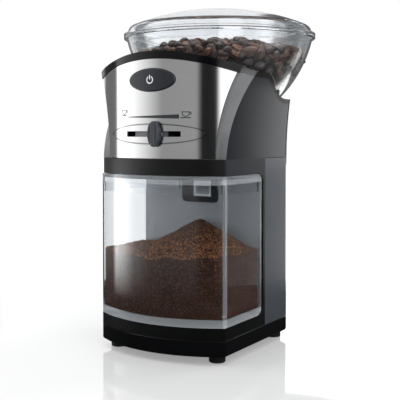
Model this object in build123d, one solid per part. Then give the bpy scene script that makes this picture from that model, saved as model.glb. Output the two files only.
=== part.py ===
from build123d import *
import os
from math import acos, asin, cos, degrees, pi, radians, sin, sqrt, tan

# A countertop burr coffee grinder. Millimetres, X to the right, Y to the rear, Z up from the table.
# Plan positions are measured from the hopper axis, the vertical line that hopper and curved steel front
# share. On export the whole grinder moves along Y, so that its box is centred on the origin.

# Body
BODY_WIDTH = 118.0
FRONT_RADIUS = 105.0
BIN_PROUD = 4.0
BAND_PROUD = 2.5
BACK_DEPTH = 22.0
REAR_CORNER = 10.0
FRONT_CORNER = 2.5
WALL = 2.4
SEAM_DEPTH = 25.7
EDGE_ROUND = 2.0
SEAM_CHAMFER = 0.5

# Heights, each measured from the one before it, the last three from the head's lower edge
FOOT_HEIGHT = 6.1
BASE_HEIGHT = 12.8
PLINTH_HEIGHT = 9.5
BAY_HEIGHT = 116.0
BAND_HEIGHT = 12.5
SIDE_HEIGHT = 69.5
REAR_HEIGHT = 49.5
ARCH_HEIGHT = 84.2

# Head: flared steel shield, bevelled flank strips, drafted side walls, arched brow
SHIELD_LOW = 52.4
SHIELD_HIGH = 67.5
SHIELD_POWER = 1.9
STRIP_LOW = 89.3
STRIP_HIGH = 48.0
STRIP_POWER = 1.88
STRIP_SLANT = 0.8
HEAD_FLARE = 4.5
FLARE_POWER = 2.0
ARCH_RADIUS = 195.0
PANEL_ARCH = 184.0
BROW_HEIGHT = 6.0
TRIM_HEIGHT = 4.2
TRIM_PROUD = 0.6
BROW_OVER = 1.0
BROW_LENGTH = 44.0
BROW_END = 62.7
BROW_SAG = 4.2
NOTCH_RADIUS = 32.4
NOTCH_REAR = 8.0
NOTCH_DROP = 3.2
NOTCH_EASE = 2.0
PANEL_SHEET = 1.0
PANEL_BACKING = 0.2
PANEL_MARGIN = 2.0

# Controls on the front
BUTTON_WIDTH = 43.0
BUTTON_TALL = 18.0
BUTTON_DROP = 22.6
BUTTON_DOME = 1.8
BUTTON_ROUND = 1.1
BUTTON_DEPTH = 9.0
BUTTON_TRAVEL = 2.5
STEM_RADIUS = 4.0
STEM_LENGTH = 8.0
STEM_ROOT = 1.0
SLOT_LENGTH = 51.0
SLOT_TALL = 4.4
SLOT_CORNER = 0.6
SLOT_RELIEF = 2.0
SLOT_LEVEL = 19.6
RING_LENGTH = 90.0
RING_TALL = 16.6
RING_LINE = 1.2
RING_DEPTH = 0.5
KNOB_WIDTH = 10.5
KNOB_TALL = 20.0
KNOB_REACH = 5.5
KNOB_ROUND = 1.6
KNOB_FLUTE = 2.0
FLUTE_SIDE = 2.7
FLUTE_OUT = 1.0
KNOB_SIDE = 4.4
LEVER_WIDTH = 7.0
LEVER_TALL = 3.0
SHUTTER_SETBACK = 4.3
SHUTTER_WALL = 1.0
SHUTTER_LEFT = 24.0
SHUTTER_RIGHT = 8.0
SHUTTER_TALL = 6.0

# Hopper and its lid
LIP_REACH = 2.0
LIP_TALL = 2.6
BOWL_RADIUS = 82.0
BOWL_FLOOR = 52.0
BOWL_DEPTH = 55.0
BOWL_BULGE = 4.7
BOWL_ROUND = 6.0
BOWL_WALL = 2.4
NECK_RADIUS = 20.0
NECK_LENGTH = 14.0
LID_SKIRT = 7.0
LID_STEP = 3.4
LID_RISE = 16.7
LID_ROUND = 6.0
LID_WALL = 2.2
LID_FLANGE = 1.6
LID_PLUG = 7.0
SEAL_HEIGHT = 1.5

# Bin, its lid and the bay
BAY_BACK = 29.0
BAY_CORNER = 9.0
BIN_SETBACK = 2.0
BIN_WALL = 3.0
BIN_FLOOR = 6.0
BIN_ROUND = 4.0
BIN_RIM = 6.5
BIN_PLATE = 3.0
BIN_SKIRT = 8.0
BIN_SKIRT_WALL = 1.8
NOTCH_HALF = 19.0
NOTCH_LEVEL = 90.0

# Feet, screws and openings of the base
FOOT_RADIUS = 6.5
FOOT_PLUG = 3.0
FOOT_PLUG_LENGTH = 4.0
FOOT_SIDE = 47.5
FOOT_FRONT = 84.0
FOOT_REAR = 12.0
SCREW_RADIUS = 1.5
SCREW_HEAD = 3.1
SCREW_HEAD_TALL = 2.2
SCREW_LENGTH = 11.0
CROSS_LENGTH = 4.0
CROSS_WIDTH = 0.7
CROSS_DEPTH = 1.0
BOSS_RADIUS = 4.5
BOSS_TALL = 3.0
SEAT_RADIUS = 5.5
BASE_SCREW_SIDE = 36.0
BASE_SCREW_FRONT = 72.0
BASE_SCREW_REAR = 6.0
VENT_COUNT = 7
VENT_PITCH = 6.0
VENT_WIDTH = 2.5
VENT_LENGTH = 26.0
GLAND_LEVEL = 16.0
GLAND_SIDE = 30.0
GLAND_BORE = 3.4
GLAND_RADIUS = 6.0
GLAND_FLANGE = 8.0
GLAND_FLANGE_TALL = 2.0

# Grinding chamber and burrs
FLANGE_TALL = 3.5
FLANGE_HALF = 52.0
FLANGE_FRONT = 47.0
FLANGE_REAR = 16.0
FLANGE_SCREW_SIDE = 38.0
FLANGE_SCREW_FRONT = 41.0
FLANGE_LEDGE = 7.0
FLANGE_LEDGE_REAR = 10.0
BURR_SETBACK = 6.5
CUP_RADIUS = 23.8
CUP_WALL = 2.0
CUP_HEIGHT = 26.0
LEDGE_WIDTH = 2.0
LEDGE_TALL = 2.5
ROTOR_RADIUS = 19.6
ROTOR_TALL = 6.0
ROTOR_LIFT = 1.2
PADDLE_COUNT = 4
PADDLE_WIDTH = 5.0
PADDLE_REACH = 21.2
BURR_RADIUS = 19.0
BURR_BORE = 9.5
BURR_TALL = 5.0
BURR_GAP = 0.7
BURR_SLOTS = 12
BURR_SLOT_WIDTH = 1.6
BURR_SLOT_DEPTH = 1.2
HOLDER_AIR = 0.8
HOLDER_THROAT = 11.0
RING_WALL = 1.8
RING_DROP = 4.5
RING_LIP = 2.2
SHAFT_RADIUS = 3.5
BUSH_WALL = 2.0
BUSH_LENGTH = 7.5
NUT_RADIUS = 6.0
NUT_TALL = 11.0
BLADE_WIDTH = 2.4

# Chute
CHUTE_HALF = 8.5
CHUTE_DEPTH = 8.5
CHUTE_WALL = 1.5
MOUTH_TALL = 7.0
CHUTE_LENGTH = 30.0
CHUTE_RAMP = 9.1

# Gear train: drive gear on the burr shaft, compound idler, motor pinion
DRIVE_MODULE = 0.8
DRIVE_TEETH = 32
IDLER_PINION_TEETH = 14
MOTOR_MODULE = 0.6
IDLER_TEETH = 42
MOTOR_TEETH = 14
TOOTH_REACH = 0.8
TOOTH_ROOT = 1.05
PRESSURE_ANGLE = 20.0
BACKLASH = 0.16
DRIVE_FACE = 6.5
IDLER_FACE = 6.0
GEAR_AIR = 1.6
AXLE_RADIUS = 2.0
PLATE_TALL = 2.5
PLATE_LEFT = 20.0
PLATE_RIGHT = 52.0
PLATE_HALF = 13.5
POST_RADIUS = 2.8
POST_LEFT = 16.5
POST_RIGHT = 46.0
POST_SIDE = 10.0

# Motor
CAN_RADIUS = 16.0
CAN_WALL = 1.4
CAN_LENGTH = 62.0
CAP_TALL = 4.0
MAGNET_WALL = 4.0
MAGNET_ARC = 130.0
CORE_GAP = 0.6
CORE_LENGTH = 32.0
COMMUTATOR_RADIUS = 5.0
COMMUTATOR_LENGTH = 9.0
ARMATURE_RADIUS = 1.6
SLOT_COUNT = 5
CORE_SLOT = 2.0

# Switches and board
SWITCH_WIDTH = 20.0
SWITCH_DEPTH = 13.0
SWITCH_TALL = 13.0
SWITCH_AIR = 0.7
SWITCH_DROP = 3.0
BRACKET_WALL = 2.0
INTERLOCK_WIDTH = 20.0
INTERLOCK_DEPTH = 6.4
INTERLOCK_TALL = 10.0
INTERLOCK_SIDE = -36.0
INTERLOCK_LEVEL = 94.0
FEELER_RADIUS = 1.5
FEELER_SEAT = 3.0
FEELER_TRAVEL = 1.2
BOARD_WIDTH = 60.0
BOARD_DEPTH = 32.0
BOARD_TALL = 1.6
BOARD_LEVEL = 18.0
BOARD_POST = 3.0
CAPACITOR_RADIUS = 7.5
CAPACITOR_TALL = 18.0
RELAY_WIDTH = 15.0
RELAY_DEPTH = 16.0
RELAY_TALL = 10.0
PART_OFFSET = 15.0

# Clearances
SLIDE_GAP = 0.3
RUN_GAP = 0.05
FIXED_GAP = 0.02
BOWL_CLEAR = 1.0
DISH_WALL = 2.2
LEAST_TURN = 0.5
TINY = 0.01
REACH = 300.0

# Levels and radii that follow from the sizes above
HALF = BODY_WIDTH / 2
BIN_RADIUS = FRONT_RADIUS + BIN_PROUD
BAND_RADIUS = FRONT_RADIUS + BAND_PROUD
HOUSING_RADIUS = FRONT_RADIUS - PANEL_SHEET - PANEL_BACKING
Z_BASE = FOOT_HEIGHT
Z_PLINTH = Z_BASE + BASE_HEIGHT
Z_BAY = Z_PLINTH + PLINTH_HEIGHT
Z_BAND = Z_BAY + BAY_HEIGHT
Z_HEAD = Z_BAND + BAND_HEIGHT
Z_SIDE = Z_HEAD + SIDE_HEIGHT
Z_REAR = Z_HEAD + REAR_HEIGHT
Z_ARCH = Z_HEAD + ARCH_HEIGHT
Z_BROW = Z_ARCH + BROW_OVER
Z_BUTTON = Z_ARCH - BUTTON_DROP
Z_SLOT = Z_HEAD + SLOT_LEVEL
Z_BOWL = Z_REAR + SLIDE_GAP
Z_LIP = Z_BOWL + BOWL_DEPTH
Z_NECK = Z_BOWL - NECK_LENGTH
Z_FLANGE = Z_HEAD - FLANGE_TALL
Z_ROTOR = Z_HEAD + ROTOR_LIFT
Z_LOWER_BURR = Z_ROTOR + ROTOR_TALL
Z_UPPER_BURR = Z_LOWER_BURR + BURR_TALL + BURR_GAP
Z_HOLDER = Z_UPPER_BURR + BURR_TALL
Z_CUP = Z_HEAD + CUP_HEIGHT
Z_DRIVE = Z_FLANGE - GEAR_AIR - DRIVE_FACE
Z_IDLER = Z_DRIVE - GEAR_AIR - IDLER_FACE
Z_PLATE = Z_IDLER - GEAR_AIR - PLATE_TALL
Z_CAN = Z_PLATE - CAN_LENGTH
BIN_BACK = BAY_BACK + BIN_SETBACK
CUP_INSIDE = CUP_RADIUS - CUP_WALL
DRIVE_DISTANCE = DRIVE_MODULE * (DRIVE_TEETH + IDLER_PINION_TEETH) / 2
MOTOR_DISTANCE = MOTOR_MODULE * (IDLER_TEETH + MOTOR_TEETH) / 2
MOTOR_X = DRIVE_DISTANCE + MOTOR_DISTANCE
LIP_RADIUS = BOWL_RADIUS + LIP_REACH
LID_RADIUS = LIP_RADIUS - LID_STEP
LEVER_REACH = FRONT_RADIUS - BURR_SETBACK
KNOB_ANGLE = degrees(asin(KNOB_SIDE / LEVER_REACH))
AXIS_Y = (FRONT_RADIUS + KNOB_REACH - LIP_RADIUS) / 2


# Small helpers

def prism(sketch, low, high):
    return extrude(Pos(0, 0, low) * sketch, amount=high - low)


def disc(radius, low, high, x=0.0, y=0.0):
    return Pos(x, y, low) * Cylinder(radius, high - low, align=(Align.CENTER, Align.CENTER, Align.MIN))


def block(x0, x1, y0, y1, z0, z1):
    return Pos(x0, y0, z0) * Box(x1 - x0, y1 - y0, z1 - z0, align=(Align.MIN, Align.MIN, Align.MIN))


def spun(profile):
    return revolve(Plane.XZ * profile, Axis.Z)


def across(profile):
    return extrude(Plane.YZ * profile, amount=REACH, both=True)


def forwards(profile, depth=REACH):
    return extrude(Plane.XZ * profile, amount=depth)


def at_burr(shape):
    return Pos(0, -BURR_SETBACK, 0) * shape


def corners(side, front, back):
    return [(s * side, y) for s in (-1, 1) for y in (front, back)]


def outline(*edges):
    return make_face(Curve() + list(edges))


def plan(radius, back, inset=0.0, rear_corner=REAR_CORNER, front_corner=FRONT_CORNER):
    half = HALF - inset
    front = radius - inset
    rear = back - inset
    corner = -sqrt(front**2 - half**2)
    face = outline(
        ThreePointArc((-half, corner), (0, -front), (half, corner)),
        Polyline((half, corner), (half, rear), (-half, rear), (-half, corner)),
    )
    face = fillet(face.vertices().group_by(Axis.Y)[-1], max(rear_corner - inset, LEAST_TURN))
    sides = [v for v in face.vertices() if abs(v.Y - corner) < TINY]
    return fillet(sides, max(front_corner - inset, LEAST_TURN))


def body_plan(radius, inset=0.0):
    return plan(radius, BACK_DEPTH, inset)


# Head surfaces

def head_share(z):
    return (z - Z_HEAD) / SIDE_HEIGHT


def shield_half(z):
    return SHIELD_LOW + (SHIELD_HIGH - SHIELD_LOW) * head_share(z) ** SHIELD_POWER


def strip_front(z):
    return -STRIP_LOW + (STRIP_LOW - STRIP_HIGH) * head_share(z) ** STRIP_POWER


def head_section(z, radius, inset):
    flare = HEAD_FLARE * head_share(z) ** FLARE_POWER
    half = shield_half(z) - inset
    front = radius - inset
    side = HALF + flare - inset
    back = BACK_DEPTH + flare - inset
    turn = REAR_CORNER - inset
    edge = -sqrt(front**2 - half**2)
    strip = strip_front(z) + STRIP_SLANT * inset
    bend = turn * (1 - cos(pi / 4))
    edges = [ThreePointArc((-half, edge), (0, -front), (half, edge))]
    edges += [Line((half, edge), (side, strip)), Line((side, strip), (side, back - turn))]
    edges += [ThreePointArc((side, back - turn), (side - bend, back - bend), (side - turn, back))]
    edges += [Line((side - turn, back), (turn - side, back))]
    edges += [ThreePointArc((turn - side, back), (bend - side, back - bend), (-side, back - turn))]
    edges += [Line((-side, back - turn), (-side, strip)), Line((-side, strip), (-half, edge))]
    return Pos(0, 0, z) * make_face(edges)


def head_volume(radius, inset=0.0):
    tall = ARCH_HEIGHT + TRIM_HEIGHT
    steps = 6
    return loft([head_section(Z_HEAD + tall * i / steps, radius, inset) for i in range(steps + 1)])


def roof(drop, arch_drop, arch_radius):
    brow_front = BROW_END + BROW_LENGTH
    notch_z = Z_REAR + NOTCH_RADIUS
    notch_top = Z_SIDE - NOTCH_DROP
    notch_front = NOTCH_REAR - sqrt(NOTCH_RADIUS**2 - (notch_z - notch_top) ** 2)
    lift = acos((notch_z - notch_top) / NOTCH_RADIUS) / 2
    middle = (NOTCH_REAR - NOTCH_RADIUS * sin(lift), notch_z - NOTCH_RADIUS * cos(lift))
    side = outline(
        ThreePointArc(
            (-brow_front, Z_BROW),
            (-BROW_END - BROW_LENGTH / 2, Z_SIDE + BROW_SAG),
            (-BROW_END, Z_SIDE),
        ),
        Polyline(
            (-BROW_END, Z_SIDE), (notch_front - NOTCH_EASE, Z_SIDE - NOTCH_EASE / 2), (notch_front, notch_top)
        ),
        ThreePointArc((notch_front, notch_top), middle, (NOTCH_REAR, Z_REAR)),
        Polyline(
            (NOTCH_REAR, Z_REAR),
            (REACH, Z_REAR),
            (REACH, 0),
            (-REACH, 0),
            (-REACH, Z_BROW),
            (-brow_front, Z_BROW),
        ),
    )
    arch = Pos(0, Z_ARCH - arch_radius) * Circle(arch_radius)
    vault = extrude(Plane.XZ * arch, amount=REACH, both=True)
    return (Pos(0, 0, -drop) * across(side)) & (Pos(0, 0, -arch_drop) * vault)


# Hopper bowl

def bowl_radius(z, grow=0.0):
    run = BOWL_RADIUS - BOWL_FLOOR
    chord = sqrt(run**2 + BOWL_DEPTH**2)
    curve = (chord**2 / 4 + BOWL_BULGE**2) / (2 * BOWL_BULGE)
    centre_r = (BOWL_RADIUS + BOWL_FLOOR) / 2 - (curve - BOWL_BULGE) * BOWL_DEPTH / chord
    centre_z = Z_BOWL + BOWL_DEPTH / 2 + (curve - BOWL_BULGE) * run / chord
    return centre_r + sqrt((curve + grow) ** 2 - (z - centre_z) ** 2)


def bowl_profile(grow=0.0):
    floor = Z_BOWL - grow
    middle = (floor + Z_LIP) / 2
    above = Z_LIP + LID_RISE
    foot = bowl_radius(floor, grow)
    brim = bowl_radius(Z_LIP, grow)
    face = outline(
        Polyline((brim, above), (0, above), (0, floor), (foot, floor)),
        ThreePointArc((foot, floor), (bowl_radius(middle, grow), middle), (brim, Z_LIP)),
        Line((brim, Z_LIP), (brim, above)),
    )
    turn = [v for v in face.vertices() if abs(v.X - foot) < TINY and abs(v.Y - floor) < TINY]
    return fillet(turn, BOWL_ROUND + grow)


def bowl_space(grow=0.0, low=Z_NECK):
    return spun(bowl_profile(grow)) + at_burr(disc(NECK_RADIUS + grow, low, Z_LIP))


def hopper():
    shape = bowl_space() & disc(REACH, Z_NECK, Z_LIP)
    shape += disc(LIP_RADIUS, Z_LIP - LIP_TALL, Z_LIP)
    shape -= bowl_space(-BOWL_WALL)
    rims = [e for e in shape.edges().filter_by(GeomType.CIRCLE) if abs(e.radius - LIP_RADIUS) < TINY]
    return fillet(rims, LIP_TALL / 3)


def hopper_seal():
    ring = disc(NECK_RADIUS, Z_NECK - SEAL_HEIGHT, Z_NECK)
    return at_burr(ring - disc(NECK_RADIUS - BOWL_WALL, Z_NECK - SEAL_HEIGHT, Z_NECK))


def hopper_lid():
    low = Z_LIP + FIXED_GAP
    plug = bowl_radius(low - LID_PLUG, -BOWL_WALL) - 2 * SLIDE_GAP
    spring = low + LID_SKIRT
    apex = spring + LID_RISE
    dome = (LID_RADIUS**2 + LID_RISE**2) / (2 * LID_RISE)
    centre = apex - dome
    inner = plug - LID_WALL
    inner_z = centre + sqrt((dome - LID_WALL) ** 2 - inner**2)
    crown = (LID_RADIUS / 2, centre + sqrt(dome**2 - (LID_RADIUS / 2) ** 2))
    under = (inner / 2, centre + sqrt((dome - LID_WALL) ** 2 - (inner / 2) ** 2))
    face = outline(
        Polyline(
            (inner, inner_z),
            (inner, low - LID_PLUG),
            (plug, low - LID_PLUG),
            (plug, low),
            (LIP_RADIUS, low),
            (LIP_RADIUS, low + LID_FLANGE),
            (LID_RADIUS, low + LID_FLANGE),
            (LID_RADIUS, spring),
        ),
        ThreePointArc((LID_RADIUS, spring), crown, (0, apex)),
        Line((0, apex), (0, apex - LID_WALL)),
        ThreePointArc((0, apex - LID_WALL), under, (inner, inner_z)),
    )
    shoulder = [v for v in face.vertices() if abs(v.X - LID_RADIUS) < TINY and v.Y > spring - TINY]
    return spun(fillet(shoulder, LID_ROUND))


# Lower body

def base_screws():
    return corners(BASE_SCREW_SIDE, -BASE_SCREW_FRONT, BASE_SCREW_REAR)


def base_cover():
    shape = prism(body_plan(BIN_RADIUS), Z_BASE, Z_PLINTH)
    shape = fillet(shape.faces().sort_by(Axis.Z)[0].edges(), EDGE_ROUND)
    shape = chamfer(shape.faces().sort_by(Axis.Z)[-1].edges(), SEAM_CHAMFER)
    shape -= prism(body_plan(BIN_RADIUS, WALL), Z_BASE + WALL, Z_PLINTH)
    for x, y in base_screws():
        shape += disc(SEAT_RADIUS, Z_BASE + WALL, Z_BASE + WALL + BOSS_TALL, x, y)
        shape -= disc(SCREW_HEAD + SLIDE_GAP, Z_BASE, Z_BASE + BOSS_TALL, x, y)
        shape -= disc(SCREW_RADIUS + SLIDE_GAP, Z_BASE, Z_PLINTH, x, y)
    for x, y in corners(FOOT_SIDE, -FOOT_FRONT, FOOT_REAR):
        shape -= disc(FOOT_PLUG + FIXED_GAP, Z_BASE, Z_PLINTH, x, y)
    middle = -(BASE_SCREW_FRONT - BASE_SCREW_REAR) / 2
    for i in range(VENT_COUNT):
        x = (i - (VENT_COUNT - 1) / 2) * VENT_PITCH
        slot = Pos(x, middle) * SlotOverall(VENT_LENGTH, VENT_WIDTH, rotation=90)
        shape -= prism(slot, Z_BASE, Z_BASE + 2 * WALL)
    return shape


def rubber_feet():
    feet = []
    for x, y in corners(FOOT_SIDE, -FOOT_FRONT, FOOT_REAR):
        pad = disc(FOOT_RADIUS, 0, Z_BASE, x, y)
        pad = fillet(pad.edges().sort_by(Axis.Z)[0], EDGE_ROUND / 2)
        feet.append(pad + disc(FOOT_PLUG, Z_BASE, Z_BASE + FOOT_PLUG_LENGTH, x, y))
    return Compound(feet)


def cross_slot(x, y, z):
    cross = Box(CROSS_LENGTH, CROSS_WIDTH, 2 * CROSS_DEPTH) + Box(CROSS_WIDTH, CROSS_LENGTH, 2 * CROSS_DEPTH)
    return Pos(x, y, z) * cross


def screw_set(places, head_low):
    screws = []
    for x, y in places:
        head = disc(SCREW_HEAD, head_low, head_low + SCREW_HEAD_TALL, x, y)
        shank = disc(SCREW_RADIUS, head_low, head_low + SCREW_HEAD_TALL + SCREW_LENGTH, x, y)
        screws.append(head + shank - cross_slot(x, y, head_low))
    return Compound(screws)


def base_screw_set():
    return screw_set(base_screws(), Z_BASE + BOSS_TALL - SCREW_HEAD_TALL)


def post_hole(x, y, low, high):
    post = disc(BOSS_RADIUS, low, high, x, y)
    return post, disc(SCREW_RADIUS + RUN_GAP, low, high, x, y)


def flange_screws():
    return [(s * FLANGE_SCREW_SIDE, -FLANGE_SCREW_FRONT) for s in (-1, 1)]


def bay_opening(gap=0.0):
    low = Z_BAY + gap
    high = Z_BAND - gap
    back = -(BAY_BACK + (BIN_SETBACK if gap else 0.0))
    middle = (back - REACH) / 2
    face = Pos(middle, (low + high) / 2) * Rectangle(back + REACH, high - low)
    return fillet(face.vertices().group_by(Axis.X)[-1], BAY_CORNER)


def bay_frame():
    shape = prism(body_plan(BIN_RADIUS), Z_PLINTH, Z_BAND) + prism(body_plan(BAND_RADIUS), Z_BAND, Z_HEAD)
    shape -= across(bay_opening())
    shape &= block(-REACH, REACH, -REACH, -SEAM_DEPTH, 0, REACH)
    inside = body_plan(BIN_RADIUS, WALL)
    shape -= prism(inside, Z_PLINTH, Z_BAY - WALL)
    shape -= prism(body_plan(BAND_RADIUS, WALL), Z_BAND + WALL, Z_HEAD)
    shape -= prism(inside, Z_PLINTH, Z_HEAD) & block(-REACH, REACH, WALL - BAY_BACK, REACH, 0, REACH)
    for x, y in base_screws():
        if y < -BAY_BACK:
            post, hole = post_hole(x, y, Z_BASE + WALL + BOSS_TALL, Z_BAY - WALL)
            shape += post
            shape -= hole
    for x, y in flange_screws():
        post, hole = post_hole(x, y, Z_BAND + WALL, Z_FLANGE)
        shape += post
        shape -= hole
    half = CHUTE_HALF + SLIDE_GAP
    shape -= block(-half, half, -BAY_BACK - WALL, 0, Z_FLANGE - CHUTE_LENGTH - SLIDE_GAP, Z_HEAD)
    feeler = Pos(INTERLOCK_SIDE, -BAY_BACK, Z_BAY + INTERLOCK_LEVEL) * Rot(90, 0, 0)
    return shape - feeler * Cylinder(FEELER_RADIUS + SLIDE_GAP, 4 * WALL)


def rear_cover():
    shape = prism(body_plan(BIN_RADIUS), Z_PLINTH, Z_HEAD)
    shape = chamfer(shape.faces().sort_by(Axis.Z)[-1].edges(), SEAM_CHAMFER)
    shape -= prism(body_plan(BIN_RADIUS, WALL), Z_PLINTH, Z_HEAD)
    shape &= block(-REACH, REACH, -SEAM_DEPTH, REACH, 0, REACH)
    for side in (-1, 1):
        reach = side * (HALF - WALL / 2)
        x0, x1 = sorted((reach, side * (HALF - WALL - FLANGE_LEDGE)))
        y0 = FLANGE_LEDGE_REAR - BOSS_RADIUS
        y1 = FLANGE_LEDGE_REAR + BOSS_RADIUS
        shape += block(x0, x1, y0, y1, Z_FLANGE - BOSS_TALL * 2, Z_FLANGE)
        x0, x1 = sorted((reach, side * (BASE_SCREW_SIDE - BOSS_RADIUS)))
        y0 = BASE_SCREW_REAR - BOSS_RADIUS
        y1 = BASE_SCREW_REAR + BOSS_RADIUS
        low = Z_BASE + WALL + BOSS_TALL
        shape += block(x0, x1, y0, y1, Z_PLINTH, Z_PLINTH + WALL)
        shape += disc(BOSS_RADIUS, low, Z_PLINTH + WALL, side * BASE_SCREW_SIDE, BASE_SCREW_REAR)
        shape -= disc(SCREW_RADIUS + RUN_GAP, low, Z_HEAD, side * BASE_SCREW_SIDE, BASE_SCREW_REAR)
    inlet = Pos(GLAND_SIDE, BACK_DEPTH, Z_PLINTH + GLAND_LEVEL) * Rot(90, 0, 0)
    return shape - inlet * Cylinder(GLAND_RADIUS + FIXED_GAP, 6 * WALL)


def cord_gland():
    place = Pos(GLAND_SIDE, BACK_DEPTH, Z_PLINTH + GLAND_LEVEL) * Rot(90, 0, 0)
    low = (Align.CENTER, Align.CENTER, Align.MIN)
    high = (Align.CENTER, Align.CENTER, Align.MAX)
    flange = Cylinder(GLAND_FLANGE, GLAND_FLANGE_TALL, align=high)
    flange = fillet(flange.edges().sort_by(Axis.Z)[0], GLAND_FLANGE_TALL / 2)
    gland = flange + Cylinder(GLAND_RADIUS, WALL, align=low)
    gland += Pos(0, 0, WALL) * Cylinder(GLAND_FLANGE, GLAND_FLANGE_TALL, align=low)
    return place * (gland - Cylinder(GLAND_BORE, 8 * WALL))


# Head shell, cover and steel front

def button_face(grow=0.0):
    return Pos(0, Z_BUTTON) * Ellipse(BUTTON_WIDTH / 2 + grow, BUTTON_TALL / 2 + grow)


def slot_face(grow=0.0):
    return Pos(0, Z_SLOT) * RectangleRounded(SLOT_LENGTH + 2 * grow, SLOT_TALL + 2 * grow, SLOT_CORNER)


def head_housing():
    shape = head_volume(HOUSING_RADIUS) & roof(TRIM_HEIGHT, BROW_HEIGHT, PANEL_ARCH)
    shape -= head_volume(HOUSING_RADIUS, WALL)
    shape -= bowl_space(BOWL_CLEAR + DISH_WALL)
    shape -= forwards(button_face(2 * SLIDE_GAP))
    return shape - forwards(slot_face(SLOT_RELIEF))


def top_cover():
    radius = FRONT_RADIUS + TRIM_PROUD
    cap = head_volume(radius) & roof(0, 0, ARCH_RADIUS)
    shape = cap - roof(TRIM_HEIGHT, BROW_HEIGHT, PANEL_ARCH)
    dish = bowl_space(BOWL_CLEAR + DISH_WALL) & cap
    return (shape + dish) - bowl_space(BOWL_CLEAR)


def front_panel():
    tall = ARCH_HEIGHT + TRIM_HEIGHT
    low = Z_HEAD + SEAM_CHAMFER
    levels = [low + (Z_HEAD + tall - low) * i / 5 for i in range(6)]
    right = [(shield_half(z) - PANEL_MARGIN, z) for z in levels]
    left = [(-x, z) for x, z in right]
    shield = outline(
        Spline(*right),
        Spline(*left),
        Line(left[0], right[0]),
        Line(left[-1], right[-1]),
    )
    shield &= Pos(0, Z_ARCH - PANEL_ARCH - BROW_HEIGHT) * Circle(PANEL_ARCH - SLIDE_GAP)
    sheet = disc(FRONT_RADIUS, 0, REACH) - disc(FRONT_RADIUS - PANEL_SHEET, 0, REACH)
    sheet &= forwards(shield)
    sheet -= forwards(button_face(SLIDE_GAP))
    sheet -= forwards(slot_face())
    oval = Ellipse(RING_LENGTH / 2, RING_TALL / 2)
    oval -= Ellipse(RING_LENGTH / 2 - RING_LINE, RING_TALL / 2 - RING_LINE)
    groove = forwards(Pos(0, Z_SLOT) * oval) - disc(FRONT_RADIUS - RING_DEPTH, 0, REACH)
    return sheet - groove


def power_button():
    back = FRONT_RADIUS + BUTTON_DOME - BUTTON_DEPTH
    cap = forwards(button_face()) & disc(FRONT_RADIUS + BUTTON_DOME, 0, REACH)
    cap &= block(-REACH, REACH, -REACH, -back, 0, REACH)
    cap = fillet(cap.faces().sort_by(Axis.Y)[0].edges(), BUTTON_ROUND)
    return cap + rod_back(STEM_RADIUS, 0, -back - STEM_ROOT, STEM_LENGTH - back, Z_BUTTON)


def rod_back(radius, x, y0, y1, z):
    rod = Cylinder(radius, y1 - y0, align=(Align.CENTER, Align.CENTER, Align.MIN))
    return Pos(x, y0, z) * Rot(-90, 0, 0) * rod


def switch_box(grow=0.0):
    front = STEM_LENGTH + BUTTON_DEPTH - BUTTON_DOME + BUTTON_TRAVEL + SWITCH_AIR - FRONT_RADIUS
    low = Z_BUTTON - SWITCH_DROP - SWITCH_TALL / 2
    half = SWITCH_WIDTH / 2 + grow
    return block(-half, half, front, front + SWITCH_DEPTH + grow, low - grow, low + SWITCH_TALL)


def power_switch():
    return chamfer(switch_box().edges().filter_by(Axis.Y), SEAM_CHAMFER)


def switch_bracket():
    tray = switch_box(BRACKET_WALL)
    box = tray.bounding_box()
    half = SWITCH_WIDTH / 2 + BRACKET_WALL
    shelf = block(-half, half, -FRONT_RADIUS, box.max.Y, box.min.Z, box.min.Z + BRACKET_WALL)
    shelf &= disc(HOUSING_RADIUS - WALL - RUN_GAP, 0, REACH)
    return (tray + shelf) - switch_box()


# Grind setting: slider knob on the lever of the adjusting ring

def turned(shape):
    return at_burr(Rot(0, 0, KNOB_ANGLE) * shape)


def grind_knob():
    face = Pos(0, Z_SLOT) * Ellipse(KNOB_WIDTH / 2, KNOB_TALL / 2)
    nose = LEVER_REACH + KNOB_REACH
    knob = forwards(face) & disc(nose, 0, REACH)
    knob = fillet(knob.faces().sort_by(Axis.Y)[0].edges(), KNOB_ROUND)
    knob -= disc(LEVER_REACH + 2 * SLIDE_GAP, 0, REACH)
    for side in (-1, 1):
        knob -= disc(KNOB_FLUTE, 0, REACH, side * FLUTE_SIDE, -nose - FLUTE_OUT)
    pocket = lever_arm(FIXED_GAP)
    return turned(knob - pocket)


def lever_arm(grow=0.0):
    half = LEVER_WIDTH / 2 + grow
    tall = LEVER_TALL / 2 + grow
    tip = LEVER_REACH + KNOB_REACH / 2 + grow
    return block(-half, half, -tip, -CUP_RADIUS - RING_WALL / 2, Z_SLOT - tall, Z_SLOT + tall)


def shutter():
    outside = LEVER_REACH - SHUTTER_SETBACK
    plate = disc(outside, Z_SLOT - SHUTTER_TALL / 2, Z_SLOT + SHUTTER_TALL / 2)
    plate -= disc(outside - SHUTTER_WALL, 0, REACH)
    return plate & block(-SHUTTER_LEFT, SHUTTER_RIGHT, -REACH, 0, 0, REACH)


def adjust_ring():
    low = Z_SLOT - RING_DROP
    lip = Z_CUP + SLIDE_GAP
    outside = CUP_RADIUS + SLIDE_GAP + RING_WALL
    ring = disc(outside, low, lip + RING_LIP) - disc(CUP_RADIUS + SLIDE_GAP, low, lip)
    ring += lever_arm() + shutter()
    ring -= disc(CUP_RADIUS + SLIDE_GAP, low, lip)
    return turned(ring - disc(CUP_INSIDE - SLIDE_GAP + FIXED_GAP, lip, lip + RING_LIP))


# Burrs

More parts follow.
